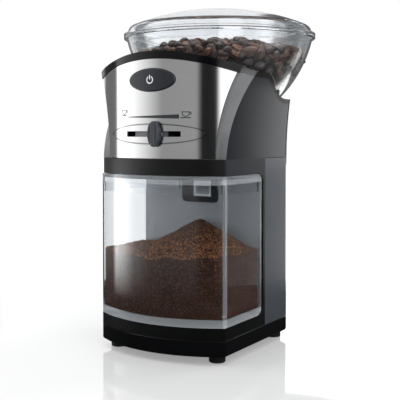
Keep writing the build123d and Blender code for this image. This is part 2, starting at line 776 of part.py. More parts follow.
def burr_slots(low, high):
    cuts = []
    for i in range(BURR_SLOTS):
        cut = block(BURR_BORE, BURR_RADIUS, -BURR_SLOT_WIDTH / 2, BURR_SLOT_WIDTH / 2, low, high)
        cuts.append(Rot(0, 0, 360 * i / BURR_SLOTS) * Pos(0, BURR_BORE / 2, 0) * cut)
    return cuts


def upper_burr():
    ring = disc(BURR_RADIUS, Z_UPPER_BURR, Z_HOLDER) - disc(BURR_BORE, Z_UPPER_BURR, Z_HOLDER)
    return at_burr(ring - burr_slots(Z_UPPER_BURR, Z_UPPER_BURR + BURR_SLOT_DEPTH))


def lower_burr():
    top = Z_LOWER_BURR + BURR_TALL
    ring = disc(BURR_RADIUS, Z_LOWER_BURR, top) - disc(BURR_BORE, Z_LOWER_BURR, top)
    return at_burr(ring - burr_slots(top - BURR_SLOT_DEPTH, top))


def burr_holder():
    top = Z_NECK - SEAL_HEIGHT - HOLDER_AIR
    outside = CUP_INSIDE - SLIDE_GAP
    skirt = Z_UPPER_BURR + BURR_TALL / 2
    shape = disc(outside, skirt, top)
    shape -= disc(BURR_RADIUS + FIXED_GAP, skirt, Z_HOLDER)
    mouth = outside - BOWL_WALL
    funnel = Cone(HOLDER_THROAT, mouth, top - Z_HOLDER, align=(Align.CENTER, Align.CENTER, Align.MIN))
    return at_burr(shape - Pos(0, 0, Z_HOLDER) * funnel)


def burr_rotor():
    hub = Z_LOWER_BURR + BURR_TALL / 2
    shape = disc(ROTOR_RADIUS, Z_ROTOR, Z_LOWER_BURR) + disc(BURR_BORE - FIXED_GAP, Z_ROTOR, hub)
    for i in range(PADDLE_COUNT):
        paddle = block(
            ROTOR_RADIUS / 2, PADDLE_REACH, -PADDLE_WIDTH / 2, PADDLE_WIDTH / 2, Z_ROTOR, Z_LOWER_BURR
        )
        shape += Rot(0, 0, 360 * i / PADDLE_COUNT) * paddle
    shape -= disc(SHAFT_RADIUS + FIXED_GAP, Z_ROTOR, hub)
    bush_top = Z_FLANGE + BUSH_LENGTH + ROTOR_LIFT / 2
    return at_burr(shape - disc(SHAFT_RADIUS + BUSH_WALL + ROTOR_LIFT, Z_ROTOR, bush_top))


def burr_shaft():
    return at_burr(disc(SHAFT_RADIUS, Z_DRIVE - GEAR_AIR / 2, Z_LOWER_BURR + BURR_TALL))


def feed_nut():
    low = Z_LOWER_BURR + BURR_TALL / 2
    top = low + NUT_TALL
    cone = Cone(NUT_RADIUS, SHAFT_RADIUS, NUT_TALL, align=(Align.CENTER, Align.CENTER, Align.MIN))
    nut = Pos(0, 0, low) * cone
    reach = BURR_BORE - 2 * SLIDE_GAP
    nut += block(-reach, reach, -BLADE_WIDTH / 2, BLADE_WIDTH / 2, low, low + NUT_TALL / 2)
    nut -= disc(SHAFT_RADIUS + FIXED_GAP, low, Z_LOWER_BURR + BURR_TALL + FIXED_GAP)
    return at_burr(fillet(nut.faces().sort_by(Axis.Z)[-1].edges(), SHAFT_RADIUS / 2))


def shaft_bush():
    bush = disc(SHAFT_RADIUS + BUSH_WALL, Z_FLANGE, Z_FLANGE + BUSH_LENGTH)
    return at_burr(bush - disc(SHAFT_RADIUS + RUN_GAP, Z_FLANGE, Z_FLANGE + BUSH_LENGTH))


def chute_bore(low, high):
    half = CHUTE_HALF - CHUTE_WALL
    return block(-half, half, CHUTE_WALL - BAY_BACK, CHUTE_DEPTH - CHUTE_WALL - BAY_BACK, low, high)


def grind_chamber():
    ledge = Z_SLOT - RING_DROP - SLIDE_GAP
    cup = disc(CUP_RADIUS, Z_FLANGE, Z_CUP) + disc(CUP_RADIUS + LEDGE_WIDTH, ledge - LEDGE_TALL, ledge)
    shape = block(-FLANGE_HALF, FLANGE_HALF, -FLANGE_FRONT, FLANGE_REAR, Z_FLANGE, Z_HEAD) + at_burr(cup)
    shape -= at_burr(disc(CUP_INSIDE, Z_HEAD, Z_CUP))
    shape -= at_burr(disc(SHAFT_RADIUS + BUSH_WALL + FIXED_GAP, Z_FLANGE, Z_HEAD))
    shape -= at_burr(disc(AXLE_RADIUS + FIXED_GAP, Z_FLANGE, Z_HEAD, DRIVE_DISTANCE))
    for x, y in flange_screws():
        shape -= disc(SCREW_RADIUS + SLIDE_GAP, Z_FLANGE, Z_HEAD, x, y)
    return shape - chute_bore(Z_FLANGE, Z_HEAD)


def chamber_screws():
    low = Z_HEAD + SCREW_HEAD_TALL
    long = SCREW_HEAD_TALL + FLANGE_TALL + BOSS_TALL
    screws = []
    for x, y in flange_screws():
        screw = disc(SCREW_HEAD, Z_HEAD, low, x, y) + disc(SCREW_RADIUS, low - long, low, x, y)
        screws.append(screw - cross_slot(x, y, low))
    return Compound(screws)


def chute():
    low = Z_FLANGE - CHUTE_LENGTH
    half = CHUTE_HALF - CHUTE_WALL
    front = -BAY_BACK
    back = CHUTE_DEPTH - BAY_BACK
    mouth = low + CHUTE_WALL + MOUTH_TALL
    shape = block(-CHUTE_HALF, CHUTE_HALF, front, back, low, Z_FLANGE)
    path = Polyline(
        (front + CHUTE_WALL, Z_FLANGE),
        (back - CHUTE_WALL, Z_FLANGE),
        (back - CHUTE_WALL, low + CHUTE_RAMP),
        (front, low + CHUTE_WALL),
        (front, mouth),
        (front + CHUTE_WALL, mouth),
        close=True,
    )
    return shape - extrude(Plane.YZ * make_face(path), amount=half, both=True)


# Gear train and motor

def gear(module, teeth, low, high, turn, x=0.0):
    pitch = module * teeth / 2
    base = pitch * cos(radians(PRESSURE_ANGLE))
    tip = pitch + TOOTH_REACH * module
    root = pitch - TOOTH_ROOT * module
    thick = (pi * module - BACKLASH) / (4 * pitch)

    def involute(radius):
        angle = acos(base / max(radius, base))
        return tan(angle) - angle

    def half_tooth(radius):
        return thick + involute(pitch) - involute(radius)

    start = max(root, base)
    flank = [start + (tip - start) * i / 4 for i in range(5)]
    if root < start:
        flank.insert(0, root)
    points = []
    for i in range(teeth):
        middle = turn + 2 * pi * i / teeth
        rise = [(r, middle - half_tooth(r)) for r in flank]
        fall = [(r, middle + half_tooth(r)) for r in reversed(flank)]
        points += [(x + r * cos(a), r * sin(a)) for r, a in rise + fall]
    return at_burr(prism(make_face(Polyline(*points, close=True)), low, high))


def drive_gear():
    wheel = gear(DRIVE_MODULE, DRIVE_TEETH, Z_DRIVE, Z_DRIVE + DRIVE_FACE, 0)
    return wheel - at_burr(disc(SHAFT_RADIUS + FIXED_GAP, Z_DRIVE, Z_DRIVE + DRIVE_FACE))


def idler_gear():
    middle = Z_IDLER + IDLER_FACE
    top = Z_DRIVE + DRIVE_FACE
    wheel = gear(MOTOR_MODULE, IDLER_TEETH, Z_IDLER, middle, 0, DRIVE_DISTANCE)
    turn = pi + pi / IDLER_PINION_TEETH
    wheel += gear(DRIVE_MODULE, IDLER_PINION_TEETH, middle, top, turn, DRIVE_DISTANCE)
    return wheel - at_burr(disc(AXLE_RADIUS + RUN_GAP, Z_IDLER, top, DRIVE_DISTANCE))


def idler_axle():
    return at_burr(disc(AXLE_RADIUS, Z_PLATE, Z_HEAD, DRIVE_DISTANCE))


def motor_pinion():
    turn = pi + pi / MOTOR_TEETH
    wheel = gear(MOTOR_MODULE, MOTOR_TEETH, Z_IDLER, Z_IDLER + IDLER_FACE, turn, MOTOR_X)
    return wheel - at_burr(disc(ARMATURE_RADIUS + FIXED_GAP, Z_IDLER, Z_IDLER + IDLER_FACE, MOTOR_X))


def gear_plate():
    plate = block(-PLATE_LEFT, PLATE_RIGHT, -PLATE_HALF, PLATE_HALF, Z_PLATE, Z_PLATE + PLATE_TALL)
    plate = fillet(plate.edges().filter_by(Axis.Z), POST_RADIUS)
    plate -= disc(AXLE_RADIUS + FIXED_GAP, Z_PLATE, REACH, DRIVE_DISTANCE)
    return at_burr(plate - disc(COMMUTATOR_RADIUS, Z_PLATE, REACH, MOTOR_X))


def gear_posts():
    places = [(x, s * POST_SIDE) for x in (-POST_LEFT, POST_RIGHT) for s in (-1, 1)]
    return Compound([at_burr(disc(POST_RADIUS, Z_PLATE + PLATE_TALL, Z_FLANGE, x, y)) for x, y in places])


def motor_can():
    can = disc(CAN_RADIUS, Z_CAN, Z_PLATE, MOTOR_X)
    can -= disc(CAN_RADIUS - CAN_WALL, Z_CAN, Z_PLATE - CAN_WALL, MOTOR_X)
    return at_burr(can - disc(ARMATURE_RADIUS + RUN_GAP, Z_CAN, Z_PLATE, MOTOR_X))


def motor_cap():
    cap = disc(CAN_RADIUS, Z_CAN - CAP_TALL, Z_CAN, MOTOR_X)
    cap = fillet(cap.edges().sort_by(Axis.Z)[0], EDGE_ROUND / 2)
    return at_burr(cap - disc(ARMATURE_RADIUS + RUN_GAP, Z_CAN - CAP_TALL, Z_CAN, MOTOR_X))


def core_span():
    low = Z_CAN + 2 * COMMUTATOR_LENGTH
    return low, low + CORE_LENGTH


def motor_magnets():
    low, high = core_span()
    outside = CAN_RADIUS - CAN_WALL - FIXED_GAP
    ring = disc(outside, low, high) - disc(outside - MAGNET_WALL, low, high)
    wedge = Polyline(
        (0, 0),
        (REACH * cos(radians(MAGNET_ARC / 2)), -REACH * sin(radians(MAGNET_ARC / 2))),
        (REACH, 0),
        (REACH * cos(radians(MAGNET_ARC / 2)), REACH * sin(radians(MAGNET_ARC / 2))),
        close=True,
    )
    piece = ring & prism(make_face(wedge), low, high)
    return Compound([at_burr(Pos(MOTOR_X, 0, 0) * Rot(0, 0, turn) * piece) for turn in (0, 180)])


def armature():
    low, high = core_span()
    radius = CAN_RADIUS - CAN_WALL - FIXED_GAP - MAGNET_WALL - CORE_GAP
    core = disc(radius, low, high)
    for i in range(SLOT_COUNT):
        slot = block(radius / 2, 2 * radius, -CORE_SLOT / 2, CORE_SLOT / 2, low, high)
        core -= Rot(0, 0, 360 * i / SLOT_COUNT) * slot
    core += disc(COMMUTATOR_RADIUS, low - 1.5 * COMMUTATOR_LENGTH, low)
    core += disc(ARMATURE_RADIUS, Z_CAN - CAP_TALL, Z_IDLER + IDLER_FACE)
    return at_burr(Pos(MOTOR_X, 0, 0) * core)


# Bin sensing and electronics

def interlock_switch():
    front = WALL - BAY_BACK
    z = Z_BAY + INTERLOCK_LEVEL
    half = INTERLOCK_WIDTH / 2
    body = block(
        INTERLOCK_SIDE - half,
        INTERLOCK_SIDE + half,
        front,
        front + INTERLOCK_DEPTH,
        z - INTERLOCK_TALL / 2,
        z + INTERLOCK_TALL / 2,
    )
    depth = FEELER_SEAT + 2 * FEELER_TRAVEL
    return body - rod_back(FEELER_RADIUS + RUN_GAP, INTERLOCK_SIDE, front, front + depth, z)


def interlock_plunger():
    z = Z_BAY + INTERLOCK_LEVEL
    tip = SLIDE_GAP - BIN_BACK
    rod = rod_back(FEELER_RADIUS, INTERLOCK_SIDE, tip, WALL - BAY_BACK + FEELER_SEAT, z)
    return chamfer(rod.edges().sort_by(Axis.Y)[0], SEAM_CHAMFER)


def board_posts_at():
    side = BOARD_WIDTH / 2 - 2 * BOARD_POST
    depth = BOARD_DEPTH / 2 - 2 * BOARD_POST
    return [(x, y) for x in (-side, side) for y in (-depth, depth)]


def board_posts():
    low = Z_BASE + WALL
    high = Z_PLINTH + BOARD_LEVEL
    return Compound([disc(BOARD_POST, low, high, x, y) for x, y in board_posts_at()])


def control_board():
    low = Z_PLINTH + BOARD_LEVEL
    half = BOARD_WIDTH / 2
    deep = BOARD_DEPTH / 2
    top = low + BOARD_TALL
    board = block(-half, half, -deep, deep, low, top)
    board += disc(CAPACITOR_RADIUS, top, top + CAPACITOR_TALL, -PART_OFFSET)
    relay = Pos(PART_OFFSET / 2, 0, top) * Box(RELAY_WIDTH, RELAY_DEPTH, 2 * RELAY_TALL)
    return board + (relay & block(-half, half, -deep, deep, low, REACH))


# Ground-coffee bin

def bin_plan(inset):
    return plan(BIN_RADIUS, -BIN_BACK, inset, FRONT_CORNER)


def bin_volume():
    body = prism(bin_plan(0), Z_BAY + SLIDE_GAP, Z_BAND - SLIDE_GAP)
    return body & across(bay_opening(SLIDE_GAP))


def bin_notch():
    low = Z_BAY + NOTCH_LEVEL
    high = Z_BAND - SLIDE_GAP - BIN_PLATE
    depth = BIN_WALL + 2 * BIN_SKIRT_WALL + BIN_ROUND
    cut = block(-NOTCH_HALF, NOTCH_HALF, -BIN_BACK - depth, 0, low, high)
    lower = [e for e in cut.edges().filter_by(Axis.Y) if e.center().Z < low + TINY]
    return fillet(lower, BIN_ROUND)


def bin_seam():
    return Z_BAND - SLIDE_GAP - BIN_RIM


def coffee_bin():
    low = Z_BAY + SLIDE_GAP
    shape = bin_volume() & block(-REACH, REACH, -REACH, REACH, 0, bin_seam())
    hollow = prism(bin_plan(BIN_WALL), low + BIN_FLOOR, Z_BAND)
    hollow = fillet(hollow.faces().sort_by(Axis.Z)[0].edges(), BIN_ROUND)
    return shape - hollow - bin_notch()


def bin_lid():
    seam = bin_seam() + FIXED_GAP
    top = Z_BAND - SLIDE_GAP
    shape = bin_volume() & block(-REACH, REACH, -REACH, REACH, seam, top)
    shape -= prism(bin_plan(BIN_WALL + SLIDE_GAP + BIN_SKIRT_WALL), seam, top - BIN_PLATE)
    skirt = prism(bin_plan(BIN_WALL + SLIDE_GAP), seam - BIN_SKIRT, seam)
    skirt -= prism(bin_plan(BIN_WALL + SLIDE_GAP + BIN_SKIRT_WALL), seam - BIN_SKIRT, seam)
    return shape + skirt - bin_notch()


NODES = [
    base_cover, rubber_feet, base_screw_set, bay_frame, rear_cover, cord_gland,
    head_housing, top_cover, front_panel, power_button, power_switch, switch_bracket,
    grind_knob, adjust_ring, upper_burr, burr_holder, lower_burr, burr_rotor, burr_shaft, feed_nut,
    shaft_bush, grind_chamber, chamber_screws, chute, drive_gear, idler_gear, idler_axle, motor_pinion,
    gear_plate, gear_posts, motor_can, motor_cap, motor_magnets, armature,
    interlock_switch, interlock_plunger, board_posts, control_board, coffee_bin, bin_lid,
    hopper, hopper_seal, hopper_lid,
]

os.makedirs("parts", exist_ok=True)
for node in NODES:
    export_step(Pos(0, AXIS_Y, 0) * node(), f"parts/{node.__name__}.step")
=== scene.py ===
# %% [markdown]
# # A countertop burr coffee grinder
# The solids of the grinder come in as a fixed frame. This file gives them their finishes, adds what a CAD
# model leaves out, which is the print on the front, the beans and the ground coffee, and sets up the
# studio. All lengths are metres, X to the right, Y to the rear, Z up from the table.

# %% Load the frame and keep its box
import math
import random

import bpy
from mathutils import Euler, Matrix, Vector


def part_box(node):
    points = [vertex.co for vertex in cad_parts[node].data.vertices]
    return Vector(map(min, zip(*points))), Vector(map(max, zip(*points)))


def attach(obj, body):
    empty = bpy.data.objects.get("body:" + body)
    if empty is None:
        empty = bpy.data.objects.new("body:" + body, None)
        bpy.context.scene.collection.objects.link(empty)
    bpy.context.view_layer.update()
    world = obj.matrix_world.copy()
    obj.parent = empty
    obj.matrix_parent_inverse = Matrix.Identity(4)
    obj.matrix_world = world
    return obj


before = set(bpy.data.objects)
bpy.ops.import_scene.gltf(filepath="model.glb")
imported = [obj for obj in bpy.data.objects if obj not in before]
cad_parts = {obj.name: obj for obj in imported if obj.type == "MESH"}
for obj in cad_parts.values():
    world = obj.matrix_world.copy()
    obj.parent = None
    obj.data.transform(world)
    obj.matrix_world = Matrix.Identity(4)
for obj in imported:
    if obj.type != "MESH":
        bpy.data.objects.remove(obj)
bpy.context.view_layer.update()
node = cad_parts
scene = bpy.context.scene
scene.view_settings.view_transform = "Standard"

# %% [markdown]
# ## The camera
# The photograph was taken from the right of the front, a little above the middle, with a short telephoto
# lens. Its upright edges stay nearly upright, so the lens is shifted down and the camera is hardly tilted.
# Its place was worked out from the edges of the base, the bin and the head, so the camera is set by
# numbers.

# %% Camera
CAMERA_AT = (0.36911, -0.61627, 0.17647)
CAMERA_BEARING = 31.73
CAMERA_TILT = 1.6
LENS_LENGTH = 74.0
LENS_SHIFT = -0.1075
SENSOR_WIDTH = 36.0
lens = bpy.data.cameras.new("camera")
lens.lens = LENS_LENGTH
lens.sensor_width = SENSOR_WIDTH
lens.shift_y = LENS_SHIFT
camera = bpy.data.objects.new("camera", lens)
camera.location = CAMERA_AT
camera.rotation_euler = (math.radians(90 - CAMERA_TILT), 0, math.radians(CAMERA_BEARING))
scene.collection.objects.link(camera)
scene.camera = camera
print("camera at", tuple(round(v, 3) for v in camera.location))

# %% [markdown]
# ## Places that the added pieces need
# The steel front and the hopper are turned about one upright axis. The hopper's own box gives that axis,
# and the front of the panel gives the radius on which the print lies. Numbers taken from the solids follow
# them when a size changes, so they are asked for and not typed in.

# %% Measures taken from the solids
MM = 0.001
low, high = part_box("hopper")
AXIS = Vector(((low.x + high.x) / 2, (low.y + high.y) / 2, 0))
Z_LIP = high.z
FRONT_R = AXIS.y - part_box("front_panel")[0].y
BUTTON_R = AXIS.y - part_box("power_button")[0].y
button_low, button_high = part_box("power_button")
Z_BUTTON = (button_low.z + button_high.z) / 2
bin_low, bin_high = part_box("coffee_bin")
BIN_CORNER = AXIS.y - math.sqrt((AXIS.y - bin_low.y) ** 2 - bin_high.x**2)
print("axis y", round(AXIS.y, 5), "front radius", round(FRONT_R, 5), "button radius", round(BUTTON_R, 5))

# %% [markdown]
# ## Nodes in few words
# A finish is a tree of small nodes. Wiring them by hand in the editor takes many clicks, and in code many
# lines, so the handful that come again and again get a short helper each. A helper takes a plain number, a
# colour or the output of another node, and feeds whichever it gets.


# %% Node helpers
def feed(tree, socket, wanted):
    if isinstance(wanted, (int, float)):
        socket.default_value = wanted
    elif isinstance(wanted, tuple):
        socket.default_value = (*wanted, 1)
    else:
        tree.links.new(wanted, socket)


def places(tree):
    return tree.nodes.new("ShaderNodeTexCoord").outputs["Object"]


def axes(tree, vector):
    split = tree.nodes.new("ShaderNodeSeparateXYZ")
    tree.links.new(vector, split.inputs["Vector"])
    return split.outputs


def maths(tree, operation, *values):
    made = tree.nodes.new("ShaderNodeMath")
    made.operation = operation
    for socket, wanted in zip(made.inputs, values):
        feed(tree, socket, wanted)
    return made.outputs[0]


print("node helpers: feed, places, axes, maths")


# %% Pattern helpers
def noise(tree, vector, scale, detail=3.0, rough=0.5):
    made = tree.nodes.new("ShaderNodeTexNoise")
    for label, wanted in (("Vector", vector), ("Scale", scale), ("Detail", detail), ("Roughness", rough)):
        feed(tree, made.inputs[label], wanted)
    return made.outputs["Fac"]


def spread(tree, value, low, high, start_at=0.3, end_at=0.7):
    made = tree.nodes.new("ShaderNodeMapRange")
    limits = (("From Min", start_at), ("From Max", end_at), ("To Min", low), ("To Max", high))
    for label, wanted in (("Value", value), *limits):
        feed(tree, made.inputs[label], wanted)
    return made.outputs["Result"]


def blend_colour(tree, share, first, second, kind="MIX"):
    made = tree.nodes.new("ShaderNodeMix")
    made.data_type = "RGBA"
    made.blend_type = kind
    for index, wanted in ((0, share), (6, first), (7, second)):
        feed(tree, made.inputs[index], wanted)
    return made.outputs[2]


print("pattern helpers: noise, spread, blend_colour")

# %% [markdown]
# ## Moulded plastic
# Moulded plastic is never one flat colour: its tint drifts a little over the part, and a fine texture from
# the mould breaks up its gloss. A picture of plastic would do this too, but noise on Object coordinates has
# no seams. Many finishes want it, so it is a node group with named sockets.

# %% Moulded plastic group
COLOUR, NUMBER = "NodeSocketColor", "NodeSocketFloat"
DRIFT_SCALE, SMEAR_SCALE = 14.0, 60.0
DRIFT_SHARE, GRAIN_SHARE = 0.6, 0.1


def group(name, inputs):
    tree = bpy.data.node_groups.new(name, "ShaderNodeTree")
    for label, kind, value in inputs:
        tree.interface.new_socket(label, in_out="INPUT", socket_type=kind).default_value = value
    for label, kind in (("Colour", COLOUR), ("Roughness", NUMBER), ("Height", NUMBER)):
        tree.interface.new_socket(label, in_out="OUTPUT", socket_type=kind)
    return tree, tree.nodes.new("NodeGroupInput").outputs, tree.nodes.new("NodeGroupOutput").inputs


moulded, given, out = group(
    "moulded_plastic",
    [("Deep", COLOUR, (0, 0, 0, 1)), ("Worn", COLOUR, (0.1, 0.1, 0.1, 1)), ("Grain Scale", NUMBER, 900.0),
     ("Gloss Low", NUMBER, 0.2), ("Gloss High", NUMBER, 0.3)],
)
place = places(moulded)
drift = noise(moulded, place, DRIFT_SCALE, 4.0)
grain = noise(moulded, place, given["Grain Scale"], 2.0)
smear = noise(moulded, place, SMEAR_SCALE, 5.0, 0.6)
shade = maths(moulded, "MULTIPLY_ADD", drift, DRIFT_SHARE, spread(moulded, grain, 0.0, GRAIN_SHARE))
feed(moulded, out["Colour"], blend_colour(moulded, shade, given["Deep"], given["Worn"]))
feed(moulded, out["Roughness"], spread(moulded, smear, given["Gloss Low"], given["Gloss High"]))
feed(moulded, out["Height"], grain)
print("group:", moulded.name)

# %% [markdown]
# ## Brushed metal
# Brushed metal has long scratches that all run one way. Noise that is stretched hard along one axis gives
# them, and the same scratches tint the metal, vary its gloss and stand up as a fine relief.

# %% Brushed metal group
SCRATCH_SCALE = (30, 30, 5200)
brushed, given, out = group(
    "brushed_metal",
    [("Dark", COLOUR, (0.4, 0.4, 0.4, 1)), ("Light", COLOUR, (0.7, 0.7, 0.7, 1)),
     ("Gloss Low", NUMBER, 0.2), ("Gloss High", NUMBER, 0.3)],
)
stretch = brushed.nodes.new("ShaderNodeMapping")
stretch.inputs["Scale"].default_value = SCRATCH_SCALE
feed(brushed, stretch.inputs["Vector"], places(brushed))
streak = noise(brushed, stretch.outputs["Vector"], 1.0, 3.0, 0.7)
tint = blend_colour(brushed, spread(brushed, streak, 0.0, 1.0), given["Dark"], given["Light"])
feed(brushed, out["Colour"], tint)
feed(brushed, out["Roughness"], spread(brushed, streak, given["Gloss Low"], given["Gloss High"]))
feed(brushed, out["Height"], streak)
print("group:", brushed.name)

# %% [markdown]
# ## From a group to a finish
# A finish is a new material whose shader takes colour, roughness and relief from one of the groups. Only
# the values differ from one plastic or metal to the next, so one function makes each kind. A CAD node has a
# material slot as a rule, and dressing it means putting the finish in that slot.


# %% Finish helpers
def finish_of(name):
    material = bpy.data.materials.new(name)
    material.use_nodes = True
    tree = material.node_tree
    return material, tree, tree.nodes["Principled BSDF"]


def effect(tree, made, values):
    placed = tree.nodes.new("ShaderNodeGroup")
    placed.node_tree = made
    for label, value in values.items():
        feed(tree, placed.inputs[label], value)
    return placed.outputs


def relief(tree, shader, height, depth, strength=0.4):
    bump = tree.nodes.new("ShaderNodeBump")
    for label, wanted in (("Distance", depth), ("Strength", strength), ("Height", height)):
        feed(tree, bump.inputs[label], wanted)
    feed(tree, shader.inputs["Normal"], bump.outputs["Normal"])


def from_group(name, made, values, depth, **plain):
    material, tree, shader = finish_of(name)
    placed = effect(tree, made, values)
    feed(tree, shader.inputs["Base Color"], placed["Colour"])
    feed(tree, shader.inputs["Roughness"], placed["Roughness"])
    relief(tree, shader, placed["Height"], depth)
    for label, value in plain.items():
        shader.inputs[label.replace("_", " ")].default_value = value
    return material


print("finish helpers: finish_of, effect, relief, from_group")


# %% Plastic, metal and dressing
def plastic_values(tint, grain, gloss):
    deep, worn = tint
    shine = {"Gloss Low": gloss[0], "Gloss High": gloss[1]}
    return {"Deep": deep, "Worn": worn, "Grain Scale": grain, **shine}


def plastic(name, tint, grain, gloss, depth, **plain):
    return from_group(name, moulded, plastic_values(tint, grain, gloss), depth, **plain)


def metal(name, tint, gloss, depth, **plain):
    dark, light = tint
    values = {"Dark": dark, "Light": light, "Gloss Low": gloss[0], "Gloss High": gloss[1]}
    return from_group(name, brushed, values, depth, Metallic=1.0, **plain)


def dress(material, *names):
    for name in names:
        slots = node[name].material_slots
        for slot in slots:
            slot.material = material
        if not slots:
            node[name].data.materials.append(material)
    print(material.name, "on", ", ".join(names))


print("kinds of finish: plastic, metal")


# %% [markdown]
# ## The black and slate plastics
# Base and top cover are a glossy black plastic. The rear half and the sides of the head are a slate grey
# with a satin texture. The rear cover takes a lighter copy of that slate: painted light, for the light that
# falls on the rear of the head from the right rear. The button is a bluish black, duller than the cover, and
# the knob a dark grey. Each has two tints to drift between, the fineness of its grain, the limits of its
# roughness and the depth of its relief.

# %% Plastics of the body
BLACK = ((0.0016, 0.0018, 0.0022), (0.005, 0.0053, 0.006))
SLATE = ((0.008, 0.0097, 0.0126), (0.016, 0.019, 0.024))
SLATE_PAINTED_LIT = ((0.042, 0.048, 0.058), (0.07, 0.078, 0.09))
BLACK_GRAIN, SLATE_GRAIN = 700.0, 1400.0
BODY_IOR = 1.45
black_gloss = plastic("black_gloss", BLACK, BLACK_GRAIN, (0.1, 0.16), 0.01 * MM, IOR=BODY_IOR)
black_top = plastic("black_top", BLACK, BLACK_GRAIN, (0.1, 0.16), 0.01 * MM, IOR=1.3)
slate = plastic("slate_satin", SLATE, SLATE_GRAIN, (0.14, 0.17), 0.002 * MM, IOR=BODY_IOR)
# Painted light: the rear cover is a lighter copy of the same slate, lit by its colour.
slate_rear_painted_lit = plastic("slate_rear_painted_lit", SLATE_PAINTED_LIT, SLATE_GRAIN, (0.22, 0.25), 0.002 * MM, IOR=BODY_IOR)
dress(black_gloss, "base_cover")
dress(black_top, "top_cover")
dress(slate_rear_painted_lit, "rear_cover")

# %% Plastics of the controls, and rubber
BLUE_BLACK = ((0.008, 0.0095, 0.013), (0.022, 0.026, 0.033))
KNOB_GREY = ((0.03, 0.034, 0.042), (0.07, 0.078, 0.09))
RUBBER = ((0.006, 0.006, 0.007), (0.02, 0.02, 0.021))
control = plastic("control_black", BLUE_BLACK, 1200.0, (0.28, 0.36), 0.03 * MM, IOR=BODY_IOR)
knob_grey = plastic("knob_grey", KNOB_GREY, 1200.0, (0.3, 0.38), 0.02 * MM, IOR=BODY_IOR)
rubber = plastic("rubber", RUBBER, 2200.0, (0.6, 0.8), 0.08 * MM, IOR=1.4)
dress(control, "power_button")
dress(knob_grey, "grind_knob")
dress(rubber, "rubber_feet", "hopper_seal", "cord_gland")

# %% [markdown]
# ## The flank strips
# The head is slate too, but the bevelled strips beside the steel are painted a lighter, duller grey, which is
# partly their own tone and partly a painted sheen for the light that they mirror. They belong to the same
# solid, so a second slot isn't at hand, and the finish has to find them by their place. Their rear edge runs
# up and back in a curve, and whatever lies in front of that curve is strip.

# %% Flank strips of the head
STRIP_LOW = 89.3 * MM
STRIP_HIGH = 48.0 * MM
STRIP_TALL = 69.5 * MM
STRIP_POWER = 1.88
STRIP_GREY_AND_SHEEN = (0.15, 0.155, 0.158)
STRIP_ROUGH = 0.45
head_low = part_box("head_housing")[0]
tree = slate.node_tree
shader = tree.nodes["Principled BSDF"]
spot = axes(tree, places(tree))
rise = spread(tree, spot["Z"], 0.0, 1.0, head_low.z, head_low.z + STRIP_TALL)
climb = maths(tree, "POWER", rise, STRIP_POWER)
edge = spread(tree, climb, AXIS.y - STRIP_LOW, AXIS.y - STRIP_HIGH, 0.0, 1.0)
strip = maths(tree, "LESS_THAN", spot["Y"], edge)
colour = shader.inputs["Base Color"]
rough = shader.inputs["Roughness"]
# The strip's lighter grey is partly its own tone and partly painted sheen.
feed(tree, colour, blend_colour(tree, strip, colour.links[0].from_socket, STRIP_GREY_AND_SHEEN))
feed(tree, rough, spread(tree, strip, rough.links[0].from_socket, STRIP_ROUGH, 0.0, 1.0))
dress(slate, "head_housing")

# %% [markdown]
# ## The bay frame
# The band above the bin is black at the front, but its two sides go on in the slate of the head. One finish
# does both: it changes from black to slate where the frame reaches its full width. A zone is a product of
# simple tests on the place of a point, with left and right alike.


# %% Zones
def zone(tree, tests):
    spot = axes(tree, places(tree))
    share = 1.0
    for axis, compare, limit in tests:
        reach = maths(tree, "ABSOLUTE", spot["X"]) if axis == "X" else spot[axis]
        share = maths(tree, "MULTIPLY", share, maths(tree, compare, reach, limit))
    return share


print("zone helper: tests along X, Y and Z")

# %% Bay frame in two colours
FULL_WIDTH = 58.3 * MM
BAND_TALL = 14 * MM
two_tone, tree, shader = finish_of("black_and_slate")
front = effect(tree, moulded, plastic_values(BLACK, BLACK_GRAIN, (0.34, 0.4)))
flank = effect(tree, moulded, plastic_values(SLATE, SLATE_GRAIN, (0.28, 0.32)))
side = zone(tree, [("X", "GREATER_THAN", FULL_WIDTH), ("Z", "GREATER_THAN", head_low.z - BAND_TALL)])
feed(tree, shader.inputs["Base Color"], blend_colour(tree, side, front["Colour"], flank["Colour"]))
feed(tree, shader.inputs["Roughness"], spread(tree, side, front["Roughness"], flank["Roughness"], 0, 1))
shader.inputs["IOR"].default_value = 1.34
dress(two_tone, "bay_frame")

# %% [markdown]
# ## The steel front
# The panel is brushed along its length, so its mirror images are sharp sideways and drawn out upwards. An
# anisotropic highlight with a tangent that runs round the upright axis gives that. The oval groove round
# the slot is sunk below the sheet, so it is found by its distance from that axis and painted a darker grey:
# painted shade, for the shade that falls in the groove.

# %% Brushed steel
STEEL = ((0.58, 0.585, 0.59), (0.64, 0.64, 0.645))
steel = metal("brushed_steel", STEEL, (0.12, 0.15), 0.002 * MM, Anisotropic=0.7, Anisotropic_Rotation=0.25)
tree = steel.node_tree
shader = tree.nodes["Principled BSDF"]
tangent = tree.nodes.new("ShaderNodeTangent")
tangent.direction_type = "RADIAL"
tangent.axis = "Z"
feed(tree, shader.inputs["Tangent"], tangent.outputs["Tangent"])
print("steel brushed round the axis")

# %% Oval groove
GROOVE_PAINTED_SHADE = (0.24, 0.24, 0.25)
GROOVE_START, GROOVE_DEEP = 0.1 * MM, 0.3 * MM
flat = tree.nodes.new("ShaderNodeVectorMath")
flat.operation = "MULTIPLY"
flat.inputs[1].default_value = (1, 1, 0)
feed(tree, flat.inputs[0], places(tree))
reach = tree.nodes.new("ShaderNodeVectorMath")
reach.operation = "DISTANCE"
reach.inputs[1].default_value = (AXIS.x, AXIS.y, 0)
feed(tree, reach.inputs[0], flat.outputs["Vector"])
groove_shade_mask = spread(tree, reach.outputs["Value"], 1.0, 0.0, FRONT_R - GROOVE_DEEP, FRONT_R - GROOVE_START)
